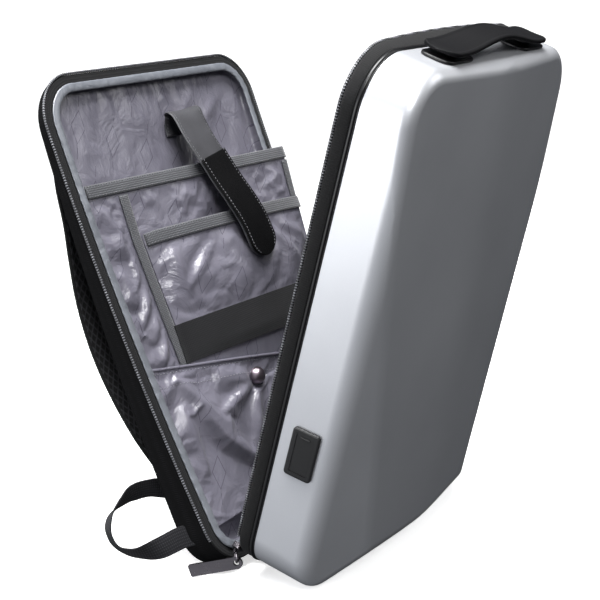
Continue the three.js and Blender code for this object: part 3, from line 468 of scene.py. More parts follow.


# Nylon coil of a zip: dark monofilament, with a painted highlight in light grey on each rounded tooth head.
# Real teeth stand 1.6 mm apart: they are drawn at 2.4 mm, here and in the coil's shape, so that the render
# shows them.
def zipCoil():
    look = {"body": "#0b0b0c", "toothGlint": "#6c6d72", "tooth": 2.4}
    made, tree, shader = newMaterial("nylon_zip_coil", Roughness=0.35, IOR=1.53)
    spot = addNode(tree, "UVMap", uv_map="cloth").outputs[0]
    teeth = addNode(tree, "TexWave", {"Vector": spot, "Scale": wavePitch(look["tooth"])},
                    bands_direction="X")
    # painted highlight: the crest of each tooth takes the light grey colour, where light would catch it
    glintBands = addNode(tree, "MapRange", {0: teeth.outputs["Fac"], 1: 0.45, 2: 0.8})
    tone = addNode(tree, "Mix", {0: glintBands.outputs[0], 6: linear(look["body"]), 7: linear(look["toothGlint"])},
                   data_type="RGBA")
    tree.links.new(tone.outputs[2], shader.inputs["Base Color"])
    bump = addNode(tree, "Bump", {"Strength": 0.4, "Distance": 0.0006, "Height": teeth.outputs["Fac"]})
    tree.links.new(bump.outputs[0], shader.inputs["Normal"])
    return made


# Die-cast zinc with a polished dark plate: near mirror, faint cloudiness and worn edges.
def platedZinc(name, body, worn, smooth, rough):
    made, tree, shader = newMaterial(name, Metallic=1.0)
    spot = addNode(tree, "TexCoord").outputs["Object"]
    cloud = addNode(tree, "TexNoise", {"Vector": spot, "Scale": 130, "Detail": 4})
    rubbed = addNode(tree, "MapRange", {0: cloud.outputs["Fac"], 1: 0.3, 2: 0.7, 3: smooth, 4: rough})
    tree.links.new(rubbed.outputs[0], shader.inputs["Roughness"])
    edges = addNode(tree, "NewGeometry").outputs["Pointiness"]
    bare = addNode(tree, "MapRange", {0: edges, 1: 0.5, 2: 0.6})
    tone = addNode(tree, "Mix", {0: bare.outputs[0], 6: linear(body), 7: linear(worn)}, data_type="RGBA")
    tree.links.new(tone.outputs[2], shader.inputs["Base Color"])
    return made


# Polyester sewing thread: a slight gloss on each twisted stitch.
def sewingThread(name, body):
    made, tree, shader = newMaterial(name, Roughness=0.5, Sheen_Weight=0.2)
    spot = addNode(tree, "TexCoord").outputs["Object"]
    twist = addNode(tree, "TexNoise", {"Vector": spot, "Scale": 900, "Detail": 1})
    tone = addNode(tree, "Mix", {0: twist.outputs["Fac"], 6: linear(body), 7: linear("#808086")},
                   data_type="RGBA")
    tree.links.new(tone.outputs[2], shader.inputs["Base Color"])
    return made


shellPaint = lacqueredAbs()
softTouch = mouldedRubber("soft_touch_tpe", "#08080a", 0.62, gloss=0.14)
glossRubber = mouldedRubber("gloss_tpe_bead", "#121213", 0.3, 2)
portPlastic = mouldedRubber("port_abs", "#141415", 0.38, 1.2)
rawAbs = mouldedRubber("raw_abs_inside", "#2a2b2e", 0.6, 1.5)
bandCloth = ribbedCloth("ribbed_nylon_band", "#09090a", "#1c1c1e", 1.8, 1.1)
trayCloth = ribbedCloth("woven_nylon_side", "#070708", "#151517", 1.6, 1.6, sheen=0, gloss=0.12)
tapeCloth = ribbedCloth("zip_tape_polyester", "#0e0e0f", "#29292c", 1.6, 2.4)
webCloth = ribbedCloth("ribbed_nylon_webbing", "#17171a", "#3c3c41", 2.6, 2.0, 0.75, 0.05, 0.5, turned=True)
bindingCloth = ribbedCloth("grosgrain_binding", "#2a2b2f", "#7d7e84", 1.5, 1.9, 0.55, 0.3, 0.5, gloss=0.5)
elasticCloth = ribbedCloth("woven_elastic", "#121214", "#2c2c2f", 1.4, 1.8, 0.85, 0.1)
coilNylon = zipCoil()
meshCloth = diamondMesh()
# In each satin the second colour is the painted highlight along its creases.
liningSatin = satinLining("satin_lining", "#53515c", "#7b7984", 0.6)
rollSatin = satinLining("satin_edge_roll", "#4d5056", "#80838a", 0)
strapLeather = grainedLeather("charcoal_leather", "#29292b", "#444448", 0.4)
tabLeather = grainedLeather("black_leather_tab", "#060607", "#0e0e0f", 0.1)
nickel = platedZinc("dark_nickel_zinc", "#48444a", "#8f8a8e", 0.14, 0.3)
darkDome = platedZinc("mauve_nickel_dome", "#9a8e96", "#c4bcc1", 0.28, 0.42)
darkThread = sewingThread("dark_thread", "#2e2e31")
paleThread = sewingThread("pale_thread", "#8f9096")
print("materials made")

# Moulded shell.
shellSizes = {
    "draft": 4, "sideDepth": 48, "apexDepth": 45, "topDepth": 45, "ridgeDepth": 81, "toeHeight": 33,
    "facetApex": 345, "facetToe": 92, "facetToeHeight": 36, "wall": 2.4,
    "edge": 9,      # rounding between the side wall and the front
    "crease": 2.5,  # rounding of the front's own ridges
}


def planeThrough(a, b, c):
    normal = np.cross(np.subtract(b, a), np.subtract(c, a)).astype(float)
    normal /= np.linalg.norm(normal)
    if normal[1] > 0:
        normal = -normal
    return normal, -normal @ np.asarray(a, float)


def frontPlanes():
    s = shellSizes
    toe = (0, -s["ridgeDepth"], s["toeHeight"])
    brow = (0, -s["topDepth"], pack["height"])
    edge = halfWidth - s["draft"]
    planes = []
    for side in (-1, 1):
        apex = (side * edge, -s["apexDepth"], s["facetApex"])
        heel = (side * edge, -s["sideDepth"], 0)
        normal, constant = planeThrough(apex, toe, brow)
        x, z = side * s["facetToe"], s["facetToeHeight"]
        corner = (x, -(constant + normal[0] * x + normal[2] * z) / normal[1], z)
        planes += [(normal, constant), planeThrough(apex, heel, corner), planeThrough(heel, corner, toe)]
    planes.append(planeThrough((-halfWidth, -s["sideDepth"], 0), (halfWidth, -s["sideDepth"], 0), toe))
    return planes


shellPlanes = frontPlanes()


def roundedMax(values, radius):
    over = np.maximum(np.stack(values) + radius, 0)
    return np.minimum(-radius, np.max(values, axis=0)) + np.sqrt((over ** 2).sum(0))


def shellField(p, inset, edge, crease):
    flats = [p @ n + c + inset for n, c in shellPlanes]
    draft = shellSizes["draft"] * -p[..., 1] / shellSizes["sideDepth"]
    trim = inset + draft
    half = halfWidth - trim
    low, high = inset, pack["height"] - trim
    radius = np.where(p[..., 2] > pack["height"] / 2, pack["topRadius"], pack["bottomRadius"]) - trim
    qx = np.abs(p[..., 0]) - half + radius
    qz = np.abs(p[..., 2] - (low + high) / 2) - (high - low) / 2 + radius
    wall = (np.minimum(np.maximum(qx, qz), 0)
            + np.hypot(np.maximum(qx, 0), np.maximum(qz, 0)) - radius)
    return roundedMax([roundedMax(flats, crease), wall], edge)


def shellSurface(inset, edge, crease, wallRows, fanRows, frontRows):
    hold = 14
    anchor = outline(hold)
    outward = outline(0) - anchor
    outward /= np.linalg.norm(outward, axis=1, keepdims=True)
    outward3 = np.stack([outward[:, 0], 0 * outward[:, 0], outward[:, 1]], 1)

    def depthAt(x, z):
        return np.min([(n[0] * x + n[2] * z + c) / n[1] for n, c in shellPlanes], axis=0)

    starts, ways = [], []
    reachIn = np.maximum(depthAt(anchor[:, 0], anchor[:, 1]) - hold, 6)
    for t in np.linspace(0, 1, wallRows, endpoint=False):
        starts.append(np.stack([anchor[:, 0], -t * reachIn, anchor[:, 1]], 1))
        ways.append(outward3)
    for a in np.linspace(0, math.pi / 2, fanRows, endpoint=False):
        starts.append(np.stack([anchor[:, 0], -reachIn, anchor[:, 1]], 1))
        ways.append(outward3 * math.cos(a) + np.array([0, -math.sin(a), 0]))
    for share in 1 - np.linspace(0, 0.985, frontRows):
        x = anchor[:, 0] * share
        z = pack["height"] / 2 + (anchor[:, 1] - pack["height"] / 2) * share
        starts.append(np.stack([x, -np.maximum(depthAt(x, z) - hold, 6), z], 1))
        ways.append(np.broadcast_to([0.0, -1.0, 0.0], starts[-1].shape))
    starts, ways = np.array(starts), np.array(ways)
    near, far = np.zeros(starts.shape[:2]), np.full(starts.shape[:2], 60.0)
    for _ in range(32):
        middle = (near + far) / 2
        inside = shellField(starts + ways * middle[..., None], inset, edge, crease) < 0
        near, far = np.where(inside, middle, near), np.where(inside, far, middle)
    points = starts + ways * near[..., None]
    points[0, :, 1] = 0
    grad = np.stack([
        shellField(points + d, inset, edge, crease) - shellField(points - d, inset, edge, crease)
        for d in 0.05 * np.eye(3)], -1)
    return points, grad / np.linalg.norm(grad, axis=-1, keepdims=True)


def moulding():
    s = shellSizes
    outer, normals = shellSurface(0, s["edge"], s["crease"], 14, 12, 58)
    made = skin("shell_moulding", outer, shellPaint, "shell", caps=(False, True))
    normals = np.vstack([normals.reshape(-1, 3), normals[-1].mean(0)])
    turn = np.array(places["shell"].to_3x3())
    made.data.normals_split_custom_set_from_vertices((normals @ turn.T).tolist())
    dress(made, "shell_paint", "shell")
    inner, _ = shellSurface(s["wall"], 6.6, 1.5, 8, 8, 30)
    inside = skin("shell_inside", np.concatenate([outer[:1], inner]), rawAbs, "shell", caps=(False, True))
    turned = bmesh.new()
    turned.from_mesh(inside.data)
    bmesh.ops.reverse_faces(turned, faces=turned.faces)  # it is seen from within
    turned.to_mesh(inside.data)
    turned.free()
    dress(inside, "black_rubber")


moulding()
print("shell made")

# Bead, band and zip round the shell.
edging = {"bead": 1.75, "beadY": 2.75, "lip": 0.95, "bandBulge": 1.0, "tooth": 2.4}


def roundProfile(y, inset, high, wide, steps):
    return [(y + high * math.cos(a), inset - wide * math.sin(a), 0)
            for a in np.linspace(0, 2 * np.pi, steps, endpoint=False)]


def ringOf(name, profile, material, slot, *nodes, lift=lambda z: 0 * z, place="shell"):
    made = skin(name, swept(profile, lift).transpose(1, 0, 2), material, place, ring=True)
    return dress(made, slot, *nodes)


ringOf("bead", roundProfile(edging["beadY"], 0.4, edging["bead"], edging["bead"], 14), glossRubber,
       "black_rubber", "shell_piping")
ringOf("bead_lip", roundProfile(0.55, 0.1, edging["lip"] * 0.6, edging["lip"], 10), glossRubber,
       "black_rubber")


def bandProfile():
    start, end, crown = pack["bandStart"], pack["bandEnd"], pack["bandCrown"]
    rows = []
    for t in np.linspace(0, 1, 11):
        bulge = edging["bandBulge"] * math.sin(math.pi * t) ** 0.5
        rows.append((lerp(start, end, t), 0.3 - bulge, crown * t))
    for t in np.linspace(1, 0, 5):
        rows.append((lerp(start, end, t), 2.0, crown * t))
    return rows


ringOf("cloth_band", bandProfile(), bandCloth, "black_cloth", "shell_band")


def coil(name, path, width, height, place, *nodes):
    length = lengthAlong(path)
    s = np.arange(0, length[-1], edging["tooth"] / 4)
    fine = np.stack([np.interp(s, length, path[:, k]) for k in range(3)], 1)
    along = np.gradient(fine, axis=0)
    along /= np.linalg.norm(along, axis=1, keepdims=True)
    out = np.cross(along, np.array([0.0, 1.0, 0.0]))
    out *= np.sign(np.sum(out * (fine - [0, 0, pack["height"] / 2]), axis=1, keepdims=True))
    out -= along * np.sum(out * along, axis=1, keepdims=True)
    out /= np.linalg.norm(out, axis=1, keepdims=True)
    over = np.cross(along, out)
    grow = 0.8 + 0.2 * np.sin(2 * np.pi * s / edging["tooth"])
    section = roundSection(10, 0.7, 0.7)
    rows = (fine[:, None] + over[:, None] * (section[None, :, :1] * width)
            + out[:, None] * (section[None, :, 1:] * height * grow[:, None, None]))
    return dress(skin(name, rows, coilNylon, place), "binding", *nodes)


coil("shell_coil", overTop(0.75, pack["bandEnd"] + 1.45, pack["bandCrown"]), 2.2, 2.9, "shell", "shell_zip")
print("edging made")

# Handle.
handleSizes = {"half": 93, "width": 30, "thick": 4.6, "rise": 7.5, "depth": 19, "plateLength": 48,
               "plateWidth": 27, "plateThick": 2.2, "plateCentre": 70, "postRadius": 7, "postHeight": 2.4}
draftAngle = math.atan(shellSizes["draft"] / shellSizes["sideDepth"])


def onTopWall(points, depth):
    p = np.asarray(points, float).copy()
    y, z = p[..., 1].copy(), p[..., 2].copy()
    p[..., 1] = y * math.cos(draftAngle) - z * math.sin(draftAngle) - depth
    p[..., 2] = (y * math.sin(draftAngle) + z * math.cos(draftAngle)
                 + pack["height"] - shellSizes["draft"] * depth / shellSizes["sideDepth"])
    return p


def onLeftWall(points, depth):
    p = np.asarray(points, float).copy()
    x, y = p[..., 0].copy(), p[..., 1].copy()
    p[..., 0] = (x * math.cos(draftAngle) - y * math.sin(draftAngle)
                 - halfWidth + shellSizes["draft"] * depth / shellSizes["sideDepth"])
    p[..., 1] = x * math.sin(draftAngle) + y * math.cos(draftAngle) - depth
    return p


def handleGrip():
    h = handleSizes
    s = np.sin(np.linspace(-math.pi / 2, math.pi / 2, 90))
    arch = 0.5 + 0.5 * np.cos(np.pi * np.minimum(1, np.abs(s) * 1.25))
    end = np.sqrt(np.maximum(1 - np.maximum(0, (np.abs(s) - 0.86) / 0.14) ** 2, 0.004))
    width = h["width"] * lerp(1.04, 0.92, arch) * end
    foot = 3 * pack["gap"] + h["plateThick"] + h["postHeight"] + h["thick"] / 2
    centres = np.stack([s * h["half"], 0 * s, foot + h["rise"] * arch], 1)
    a = np.linspace(0, 2 * np.pi, 48, endpoint=False)
    x, top = blunt(np.cos(a), 0.5), blunt(np.sin(a), 0.45)
    dish = np.where(np.sin(a) > 0, np.clip((0.86 - np.abs(2 * x)) / 0.1, 0, 1), 0)
    top = top - 0.16 * dish  # the pad sits a little below its rim
    rows = strip(centres, (0, 1, 0), width, h["thick"] * np.clip(end + 0.15, 0, 1), np.stack([x, top], 1))
    return skin("grip", onTopWall(rows, h["depth"]), softTouch, "shell")


def roundedBox(long, wide, thick, radius, bevel, steps=8):
    a = np.linspace(0, 2 * np.pi, 4 * steps, endpoint=False)
    quadrant = [(1, 1), (-1, 1), (-1, -1), (1, -1)]
    rows = []
    for inset, z in ((bevel, 0), (0, bevel * 0.6), (0, thick - bevel), (bevel * 0.35, thick - bevel * 0.3),
                     (bevel, thick), (bevel + 0.8, thick)):
        loop = []
        for k, angle in enumerate(a):
            sx, sy = quadrant[k // steps]
            r = max(radius - inset, 0.2)
            within = (angle % (np.pi / 2)) * steps / (steps - 1) + (k // steps) * np.pi / 2
            loop.append((sx * (long / 2 - radius) + r * math.cos(within),
                         sy * (wide / 2 - radius) + r * math.sin(within), z))
        rows.append(loop)
    return np.array(rows)


def handleFeet():
    h = handleSizes
    for name, side in (("left", -1), ("right", 1)):
        plate = roundedBox(h["plateLength"], h["plateWidth"], h["plateThick"], 9, 0.7)
        post = roundedBox(2 * h["postRadius"], 2 * h["postRadius"], h["postHeight"], h["postRadius"], 0.4)
        for kind, rows, lift in (("plate", plate, pack["gap"]),
                                 ("post", post, 2 * pack["gap"] + h["plateThick"])):
            rows = onTopWall(rows + [side * h["plateCentre"], 0, lift], h["depth"])
            dress(skin("foot_%s_%s" % (kind, name), rows, glossRubber, "shell", sharp=50),
                  "black_rubber", "handle_%s_%s" % (kind, name))


dress(handleGrip(), "black_rubber", "handle")
handleFeet()
print("handle made")

# Charging port.
portSizes = {"wide": 24, "high": 43, "proud": 3, "foot": 107, "front": 22, "frame": 4, "recess": 1.9}


def portPieces():
    p = portSizes
    middle = p["foot"] + p["high"] / 2

    # Rows drawn flat on the ground stand upright against the wall, facing -x.
    def fixed(name, rows, out, *nodes):
        rows = np.asarray(rows, float)
        standing = np.stack([-(rows[..., 2] + out), rows[..., 1], rows[..., 0] + middle], -1)
        dress(skin(name, onLeftWall(standing, p["front"]), portPlastic, "shell", sharp=35),
              "black_rubber", *nodes)

    base = roundedBox(p["high"], p["wide"], p["proud"], 3.2, 1.1)
    rim = roundedBox(p["high"] - 2 * p["frame"] + 1.2, p["wide"] - 2 * p["frame"] + 1.2, 1, 1.6, 0.1)[-1:]
    down = rim - [0, 0, 1]
    frameRows = np.concatenate([base, rim + [0, 0, p["proud"] - 1],
                                down + [0, 0, p["proud"] - p["recess"]]])
    fixed("port_frame", frameRows, pack["gap"], "usb_port")
    flap = roundedBox(p["high"] - 2 * p["frame"] + 0.4, p["wide"] - 2 * p["frame"] + 0.4, 1.3, 1.4, 0.45)
    fixed("port_flap", flap, pack["gap"] + p["proud"] - p["recess"], "usb_cover")
    grip = roundedBox(1.6, 9, 0.9, 0.7, 0.25) + [p["high"] / 2 - p["frame"] - 3.2, 0, 0]
    fixed("port_flap_lip", grip, pack["gap"] + p["proud"] - 0.7)


portPieces()
print("port made")

# Soft back half.
backSizes = {"topDepth": 9, "toeDepth": 34, "wall": 2.2, "bow": 9, "tapeWidth": 8.5, "tapeThick": 1.2,
             "lining": 1.1, "edge": 6, "liningInset": 9.3}
organiser = {"cloth": 1.2, "depth": 38, "left": -122, "right": 135, "sleeveTop": (345, 332),
             "pocketLeft": (-66, -78), "pocketTop": (291, 280), "pocketFloor": 110, "pocketStand": 14,
             "lowerLeft": -125, "lowerTop": (180, 122), "floor": 29, "seam": 0.6, "binding": 12,
             "elasticHigh": 36, "elasticFoot": 170, "elasticDrop": 8}
snapSizes = {"radius": 8.2, "height": 8.4, "side": -3, "foot": 134}
sleeveStand = ((0.06, 0.2368), (0.29, 0.6316), (0.45, 0.8158), (0.64, 0.9211), (0.78, 1))
lowerStand = ((0.06, 0.3684), (0.15, 0.6842), (0.29, 0.8421), (0.42, 0.9474))


def bow(z):
    return backSizes["bow"] * (1 / 3 - (2 * z / pack["height"] - 1) ** 2)


def backDepth(z):
    return lerp(backSizes["toeDepth"], backSizes["topDepth"], z / pack["height"])


def floorAt(z):
    return backDepth(z) - backSizes["wall"] - 2 * pack["gap"] - backSizes["lining"]


def standAt(table, z):
    heights, stands = zip(*table)
    return organiser["depth"] * np.interp(z / pack["height"], heights, stands)


def sleeveTop(x):
    return lerp(*organiser["sleeveTop"], reach(x, organiser["left"], organiser["right"]))


def pocketSide(z):
    return lerp(*organiser["pocketLeft"], reach(z, organiser["pocketFloor"], organiser["pocketTop"][0]))


def pocketTop(x):
    return lerp(*organiser["pocketTop"], reach(x, organiser["pocketLeft"][0], organiser["right"]))


def lowerTop(x):
    return lerp(*organiser["lowerTop"], reach(x, organiser["lowerLeft"], organiser["right"]))


def sleeveY(x, z):
    o = organiser
    return floorAt(z) - o["seam"] - o["cloth"] - standAt(sleeveStand, z) * reach(x, o["left"], o["right"])


def pocketY(x, z):
    o = organiser
    u = reach(x, pocketSide(z), o["right"] - 3)
    fill = np.minimum(1, (z - o["pocketFloor"]) / (0.15 * pack["height"]))
    return sleeveY(x, z) - o["seam"] - o["cloth"] - o["pocketStand"] * fill * np.sin(np.pi * u) ** 0.6


def lowerY(x, z):
    o = organiser
    bulge = standAt(lowerStand, z) * reach(x, o["lowerLeft"], o["right"]) ** 0.7
    return np.minimum(floorAt(z) - 2 * o["seam"] - o["cloth"] - bulge,
                      pocketY(x, np.maximum(z, o["pocketFloor"])) - 2 * o["seam"] - o["cloth"])


def inBack(x, y, z):
    return np.stack(np.broadcast_arrays(x, y + bow(z), z), -1)


def trayRows(rows):
    out = []
    for depth, inset, share in rows:
        p = outline(inset)
        x = p[:, 0] * share
        z = pack["height"] / 2 + (p[:, 1] - pack["height"] / 2) * share
        out.append(inBack(x, depth(z), z))
    return np.array(out)


# Rear panel and side wall. The rear is a padded mesh panel, a little crowned between its edges.
def backTray():
    edge = backSizes["edge"]
    crown = 2.5
    outside = []
    for share in np.linspace(0.02, 0.97, 26):
        outside.append((lambda z, s=share: backDepth(z) + crown * (1 - s ** 4), edge, share))
    for a in np.linspace(0, math.pi / 2, 7):
        outside.append((lambda z, a=a: backDepth(z) - edge * (1 - math.cos(a)), edge * (1 - math.sin(a)), 1))
    for t in np.linspace(0.08, 1, 10):
        outside.append((lambda z, t=t: (backDepth(z) - edge) * (1 - t), 0, 1))
    inside = [(lambda z: 0 * z, backSizes["wall"], 1),
              (lambda z: backDepth(z) - edge, backSizes["wall"], 1)]
    for share in (1, 0.7, 0.35, 0.02):
        inside.append((lambda z: backDepth(z) - backSizes["wall"], edge, share))
    rows = trayRows(outside + inside)
    made = skin("tray_cloth", rows, trayCloth, "back")
    made.data.materials.append(meshCloth)
    wide = rows.shape[1]
    flat = np.vstack([rows.reshape(-1, 3), rows[0].mean(0)]) / 1000  # the mesh runs straight over the panel
    cloth = made.data.uv_layers["cloth"].data
    for face in made.data.polygons:
        if max(face.vertices) < 25 * wide or (len(face.vertices) == 3 and min(face.vertices) < wide):
            face.material_index = 1
            for corner, point in zip(face.loop_indices, face.vertices):
                cloth[corner].uv = (flat[point, 2], flat[point, 0])
    return dress(made, "black_cloth", "back_tray")


backTray()


# Zip tape round the rim, bowed a little across its width.
def zipTape():
    thick, gap = backSizes["tapeThick"], pack["gap"]
    rows = []
    for t in np.linspace(0, 1, 7):
        rows.append((-gap - thick - 0.25 * math.sin(math.pi * t), 0.5 + backSizes["tapeWidth"] * t, 0))
    rows += [(-gap, 0.5 + backSizes["tapeWidth"], 0), (-gap, 0.5, 0)]
    ringOf("zip_tape", rows, tapeCloth, "black_cloth", "back_tape", lift=bow, place="back")


zipTape()
coil("back_coil", overTop(-0.7, -1.45, 0, bow), 2.2, 2.4, "back", "back_zip")


# Lining and organiser.
def ridge(x, z, x0, z0, x1, z1, width, height):
    along = np.array([x1 - x0, z1 - z0], float)
    size = np.hypot(*along)
    t = ((x - x0) * along[0] + (z - z0) * along[1]) / size ** 2
    off = ((x - x0) * along[1] - (z - z0) * along[0]) / size
    taper = np.clip(1 - (2 * t - 1) ** 2, 0, 1)
    return height * taper * np.exp(-(off / (width * (0.5 + 0.5 * taper))) ** 2)


def ripple(x, z, seed, size, height):
    rng = np.random.default_rng(seed)
    total = 0 * x
    for _ in range(9):
        a, pitch, phase = rng.uniform(0, np.pi), size * rng.uniform(0.6, 1.8), rng.uniform(0, 6.28)
        bend = np.sin((z * np.cos(a) - x * np.sin(a)) * 2.1 * np.pi / pitch + phase * 2)
        total = total + np.sin((x * np.cos(a) + z * np.sin(a)) * 2 * np.pi / pitch + phase + 0.9 * bend)
    return height * total / 9


def fade(value, low, high):
    t = reach(value, low, high)
    return t * t * (3 - 2 * t)


def panel(left, right, low, high, cols, rows, face):
    v, u = np.meshgrid(np.linspace(0, 1, rows + 1), np.linspace(0, 1, cols + 1), indexing="ij")
    near = lerp(left(0 * u), right(0 * u), u)
    z = lerp(low(near), high(near), v)
    x = lerp(left(z), right(z), u)
    return inBack(x, face(x, z), z)


def steady(value):
    return lambda x: value + 0 * x


# Slack cloth: held where it is sewn down, grown a little and pushed out by its filling, so it creases.
slackCloth = {
    "frames": 24, "push": 0.5, "bend": 1.2, "outward": 9, "inward": 0.6,
    "sleeveGrow": 0.04, "pocketGrow": 0.014, "lowerGrow": 0.03,
}


def creased(grid, loose, base, grow):
    count, wide = grid.shape[:2]
    a = (np.arange(count - 1)[:, None] * wide + np.arange(wide - 1)).ravel()
    mesh = bpy.data.meshes.new("slack")
    mesh.from_pydata((grid.reshape(-1, 3) / 1000).tolist(), [],
                     np.stack([a, a + 1, a + wide + 1, a + wide], 1).tolist())
    made = bpy.data.objects.new("slack", mesh)
    bpy.context.scene.collection.objects.link(made)
    held = made.vertex_groups.new(name="held")
    held.add(np.flatnonzero(loose.ravel() < 0.1).tolist(), 1, "REPLACE")
    cloth = made.modifiers.new("slack", "CLOTH")
    cloth.settings.quality = 6
    cloth.settings.mass = 0.1
    cloth.settings.tension_stiffness = 12
    cloth.settings.compression_stiffness = 12
    cloth.settings.shear_stiffness = 4
    cloth.settings.bending_stiffness = slackCloth["bend"]
    cloth.settings.shrink_min = -grow
    cloth.settings.vertex_group_mass = "held"
    cloth.settings.use_pressure = True
    cloth.settings.uniform_pressure_force = slackCloth["push"]
    cloth.settings.effector_weights.gravity = 0
    cloth.collision_settings.use_collision = False
    cloth.point_cache.frame_start = 1
    cloth.point_cache.frame_end = slackCloth["frames"]
    for frameNumber in range(1, slackCloth["frames"] + 1):
        bpy.context.scene.frame_set(frameNumber)
    settled = made.evaluated_get(bpy.context.evaluated_depsgraph_get()).data
    out = np.empty(count * wide * 3)
    settled.vertices.foreach_get("co", out)
    bpy.data.objects.remove(made)
    bpy.data.meshes.remove(mesh)
    bpy.context.scene.frame_set(1)
    out = out.reshape(grid.shape) * 1000
    out[..., 1] = np.clip(out[..., 1], base[..., 1] - slackCloth["outward"],
                          base[..., 1] + slackCloth["inward"])
    return out


liningFolds = [
    (-137, 430, -118, 372, 5, 2.2), (-60, 425, -68, 392, 5, 2.0), (-64, 424, -50, 380, 4, 1.6),
    (10, 424, 26, 392, 5, 1.6), (30, 385, 70, 420, 5, 1.8), (-134, 330, -122, 240, 4, 1.8),
    (60, 380, 110, 405, 6, 1.8), (-136, 250, -126, 150, 4, 1.8),
]


def liningPan():
    inset, wall = backSizes["liningInset"], backSizes["lining"]
    lip = -pack["gap"] - backSizes["tapeThick"]
    rows = [(lambda z: floorAt(z) + wall, inset + 3, 0.5), (lambda z: floorAt(z) + wall, inset + 3, 1),
            (lambda z: floorAt(z) + wall - 3, inset, 1), (lambda z: lip + 0 * z, inset, 1),
            (lambda z: lip - 0.5 + 0 * z, inset + 0.6, 1), (lambda z: lip + 0 * z, inset + wall, 1)]
    for t in np.linspace(0.12, 1, 9):
        rows.append((lambda z, t=t: lerp(lip, floorAt(z) - 2.4, t), inset + wall, 1))
    rows += [(lambda z: floorAt(z) - 1, inset + 0.8 + wall, 1)]
    for share in np.concatenate([[1], np.linspace(0.985, 0.02, 60)]):
        rows.append((lambda z: floorAt(z) - 0.05, inset + 3 + wall, share))
    grid = trayRows(rows)
    x, z = grid[..., 0], grid[..., 2]
    lift = ripple(x, z, 4, 60, 2.4) + ripple(x, z, 9, 24, 0.7)
    for fold in liningFolds:
        lift = lift + ridge(x, z, *fold)
    depth = np.arange(len(rows))[:, None] > 7
    behind = ((x > organiser["left"] - 4) & (z < sleeveTop(x) + 4)) * 1.0
    grid[..., 1] -= np.where(depth, np.maximum(lift, -0.6) * (1 - 0.9 * behind), 0)
    made = skin("lining_pan", grid, liningSatin, "back", flat=np.stack([x, z], -1) / 1000)
    return dress(made, "lining", "lining")


liningPan()


# Soft roll of paler satin where the lining is sewn to the zip tape, a little puckered by its seam.
def liningRoll():
    roll = {"inset": 11.8, "y": -2.9, "wide": 3.9, "high": 1.1, "pucker": 0.3, "pitch": 10}
    rows = swept(roundProfile(roll["y"], roll["inset"], roll["high"], roll["wide"], 14), bow)
    along = lengthAlong(rows[0])
    rows[..., 1] -= roll["pucker"] * np.sin(along * 2 * np.pi / roll["pitch"] + 2 * np.sin(along / 23))
    flat = np.stack([rows[..., 0], rows[..., 2]], -1).transpose(1, 0, 2) / 1000
    made = skin("lining_roll", rows.transpose(1, 0, 2), rollSatin, "back", ring=True, flat=flat)
    return dress(made, "binding")


liningRoll()


def sleeveFolds(x, z):
    total = ripple(x, z, 21, 34, 1.6)
    for fold in ((-112, 330, -88, 236, 6, 4.5), (-90, 318, -104, 250, 5, -3.0), (-76, 268, -110, 212, 5, 4.5),
                 (-74, 238, -104, 196, 5, 4.5), (-108, 300, -116, 200, 4, 3.0), (-80, 212, -104, 172, 5, 4.0),
                 (-96, 290, -84, 250, 4, 3.0)):
        total = total + ridge(x, z, *fold)
    return np.maximum(total, -0.4)


def sleeveLoose(x, z):
    o = organiser
    side = pocketSide(z) - o["binding"]
    gusset = fade(x, o["left"], o["left"] + 8) * (1 - fade(x, side - 12, side - 1))
    free = fade(z, lowerTop(x) - 2, lowerTop(x) + 8) * (1 - fade(z, sleeveTop(x) - 26, sleeveTop(x) - 12))
    above = 0.4 * fade(z, pocketTop(x) + 2, pocketTop(x) + 14) * fade(x, side, side + 20)
    edge = 1 - fade(x, o["right"] - 20, o["right"] - 11)
    return (gusset + above * edge) * free


def sleeveFace(x, z):
    return sleeveY(x, z) - sleeveFolds(x, z) * sleeveLoose(x, z)


def laptopSleeve():
    o = organiser
    face = panel(steady(o["left"]), steady(o["right"] - 3), steady(o["floor"]), sleeveTop, 120, 130,
                 sleeveFace)
    x, z = face[..., 0], face[..., 2]
    face = creased(face, sleeveLoose(x, z), inBack(x, sleeveY(x, z), z), slackCloth["sleeveGrow"])
    z = face[:, -1, 2]
    turnIn = []
    for t in np.linspace(0.15, 1, 6):
        x = lerp(o["right"] - 3, o["right"], min(1, 2.2 * t)) + 0 * z
        y = lerp(sleeveY(o["right"] - 3 + 0 * z, z), floorAt(z) - o["seam"], t)
        turnIn.append(inBack(x, y, z))
    grid = np.concatenate([face, np.array(turnIn).transpose(1, 0, 2)], axis=1)
    made = slab("sleeve_cloth", grid, 1.0, liningSatin, "back")
    return dress(made, "lining", "laptop_sleeve")


def elasticLow(x):
    o = organiser
    return o["elasticFoot"] - o["elasticDrop"] * reach(x, o["pocketLeft"][0], o["right"])


def pocketFolds(x, z):
    total = ripple(x, z, 33, 42, 2.2)
    for fold in ((-60, 278, -52, 222, 7, 4.5), (-55, 232, -10, 266, 6, 3.6), (-45, 222, 10, 236, 7, -2.5),
                 (60, 270, 100, 215, 7, 4.0), (10, 272, 40, 215, 7, 3.2), (84, 262, 120, 240, 6, 3.0)):
        total = total + ridge(x, z, *fold)
    return np.clip(total, -1.0, 5)


def pocketLoose(x, z):
    o = organiser
    low = elasticLow(x)
    free = fade(z, low + o["elasticHigh"] - 1, low + o["elasticHigh"] + 12)
    hem = 1 - fade(z, pocketTop(x) - 24, pocketTop(x) - o["binding"])
    side = fade(x, pocketSide(z), pocketSide(z) + 9) * (1 - fade(x, o["right"] - 14, o["right"] - 4))
    return free * hem * side


def pocketFace(x, z):
    return pocketY(x, z) - pocketFolds(x, z) * pocketLoose(x, z)


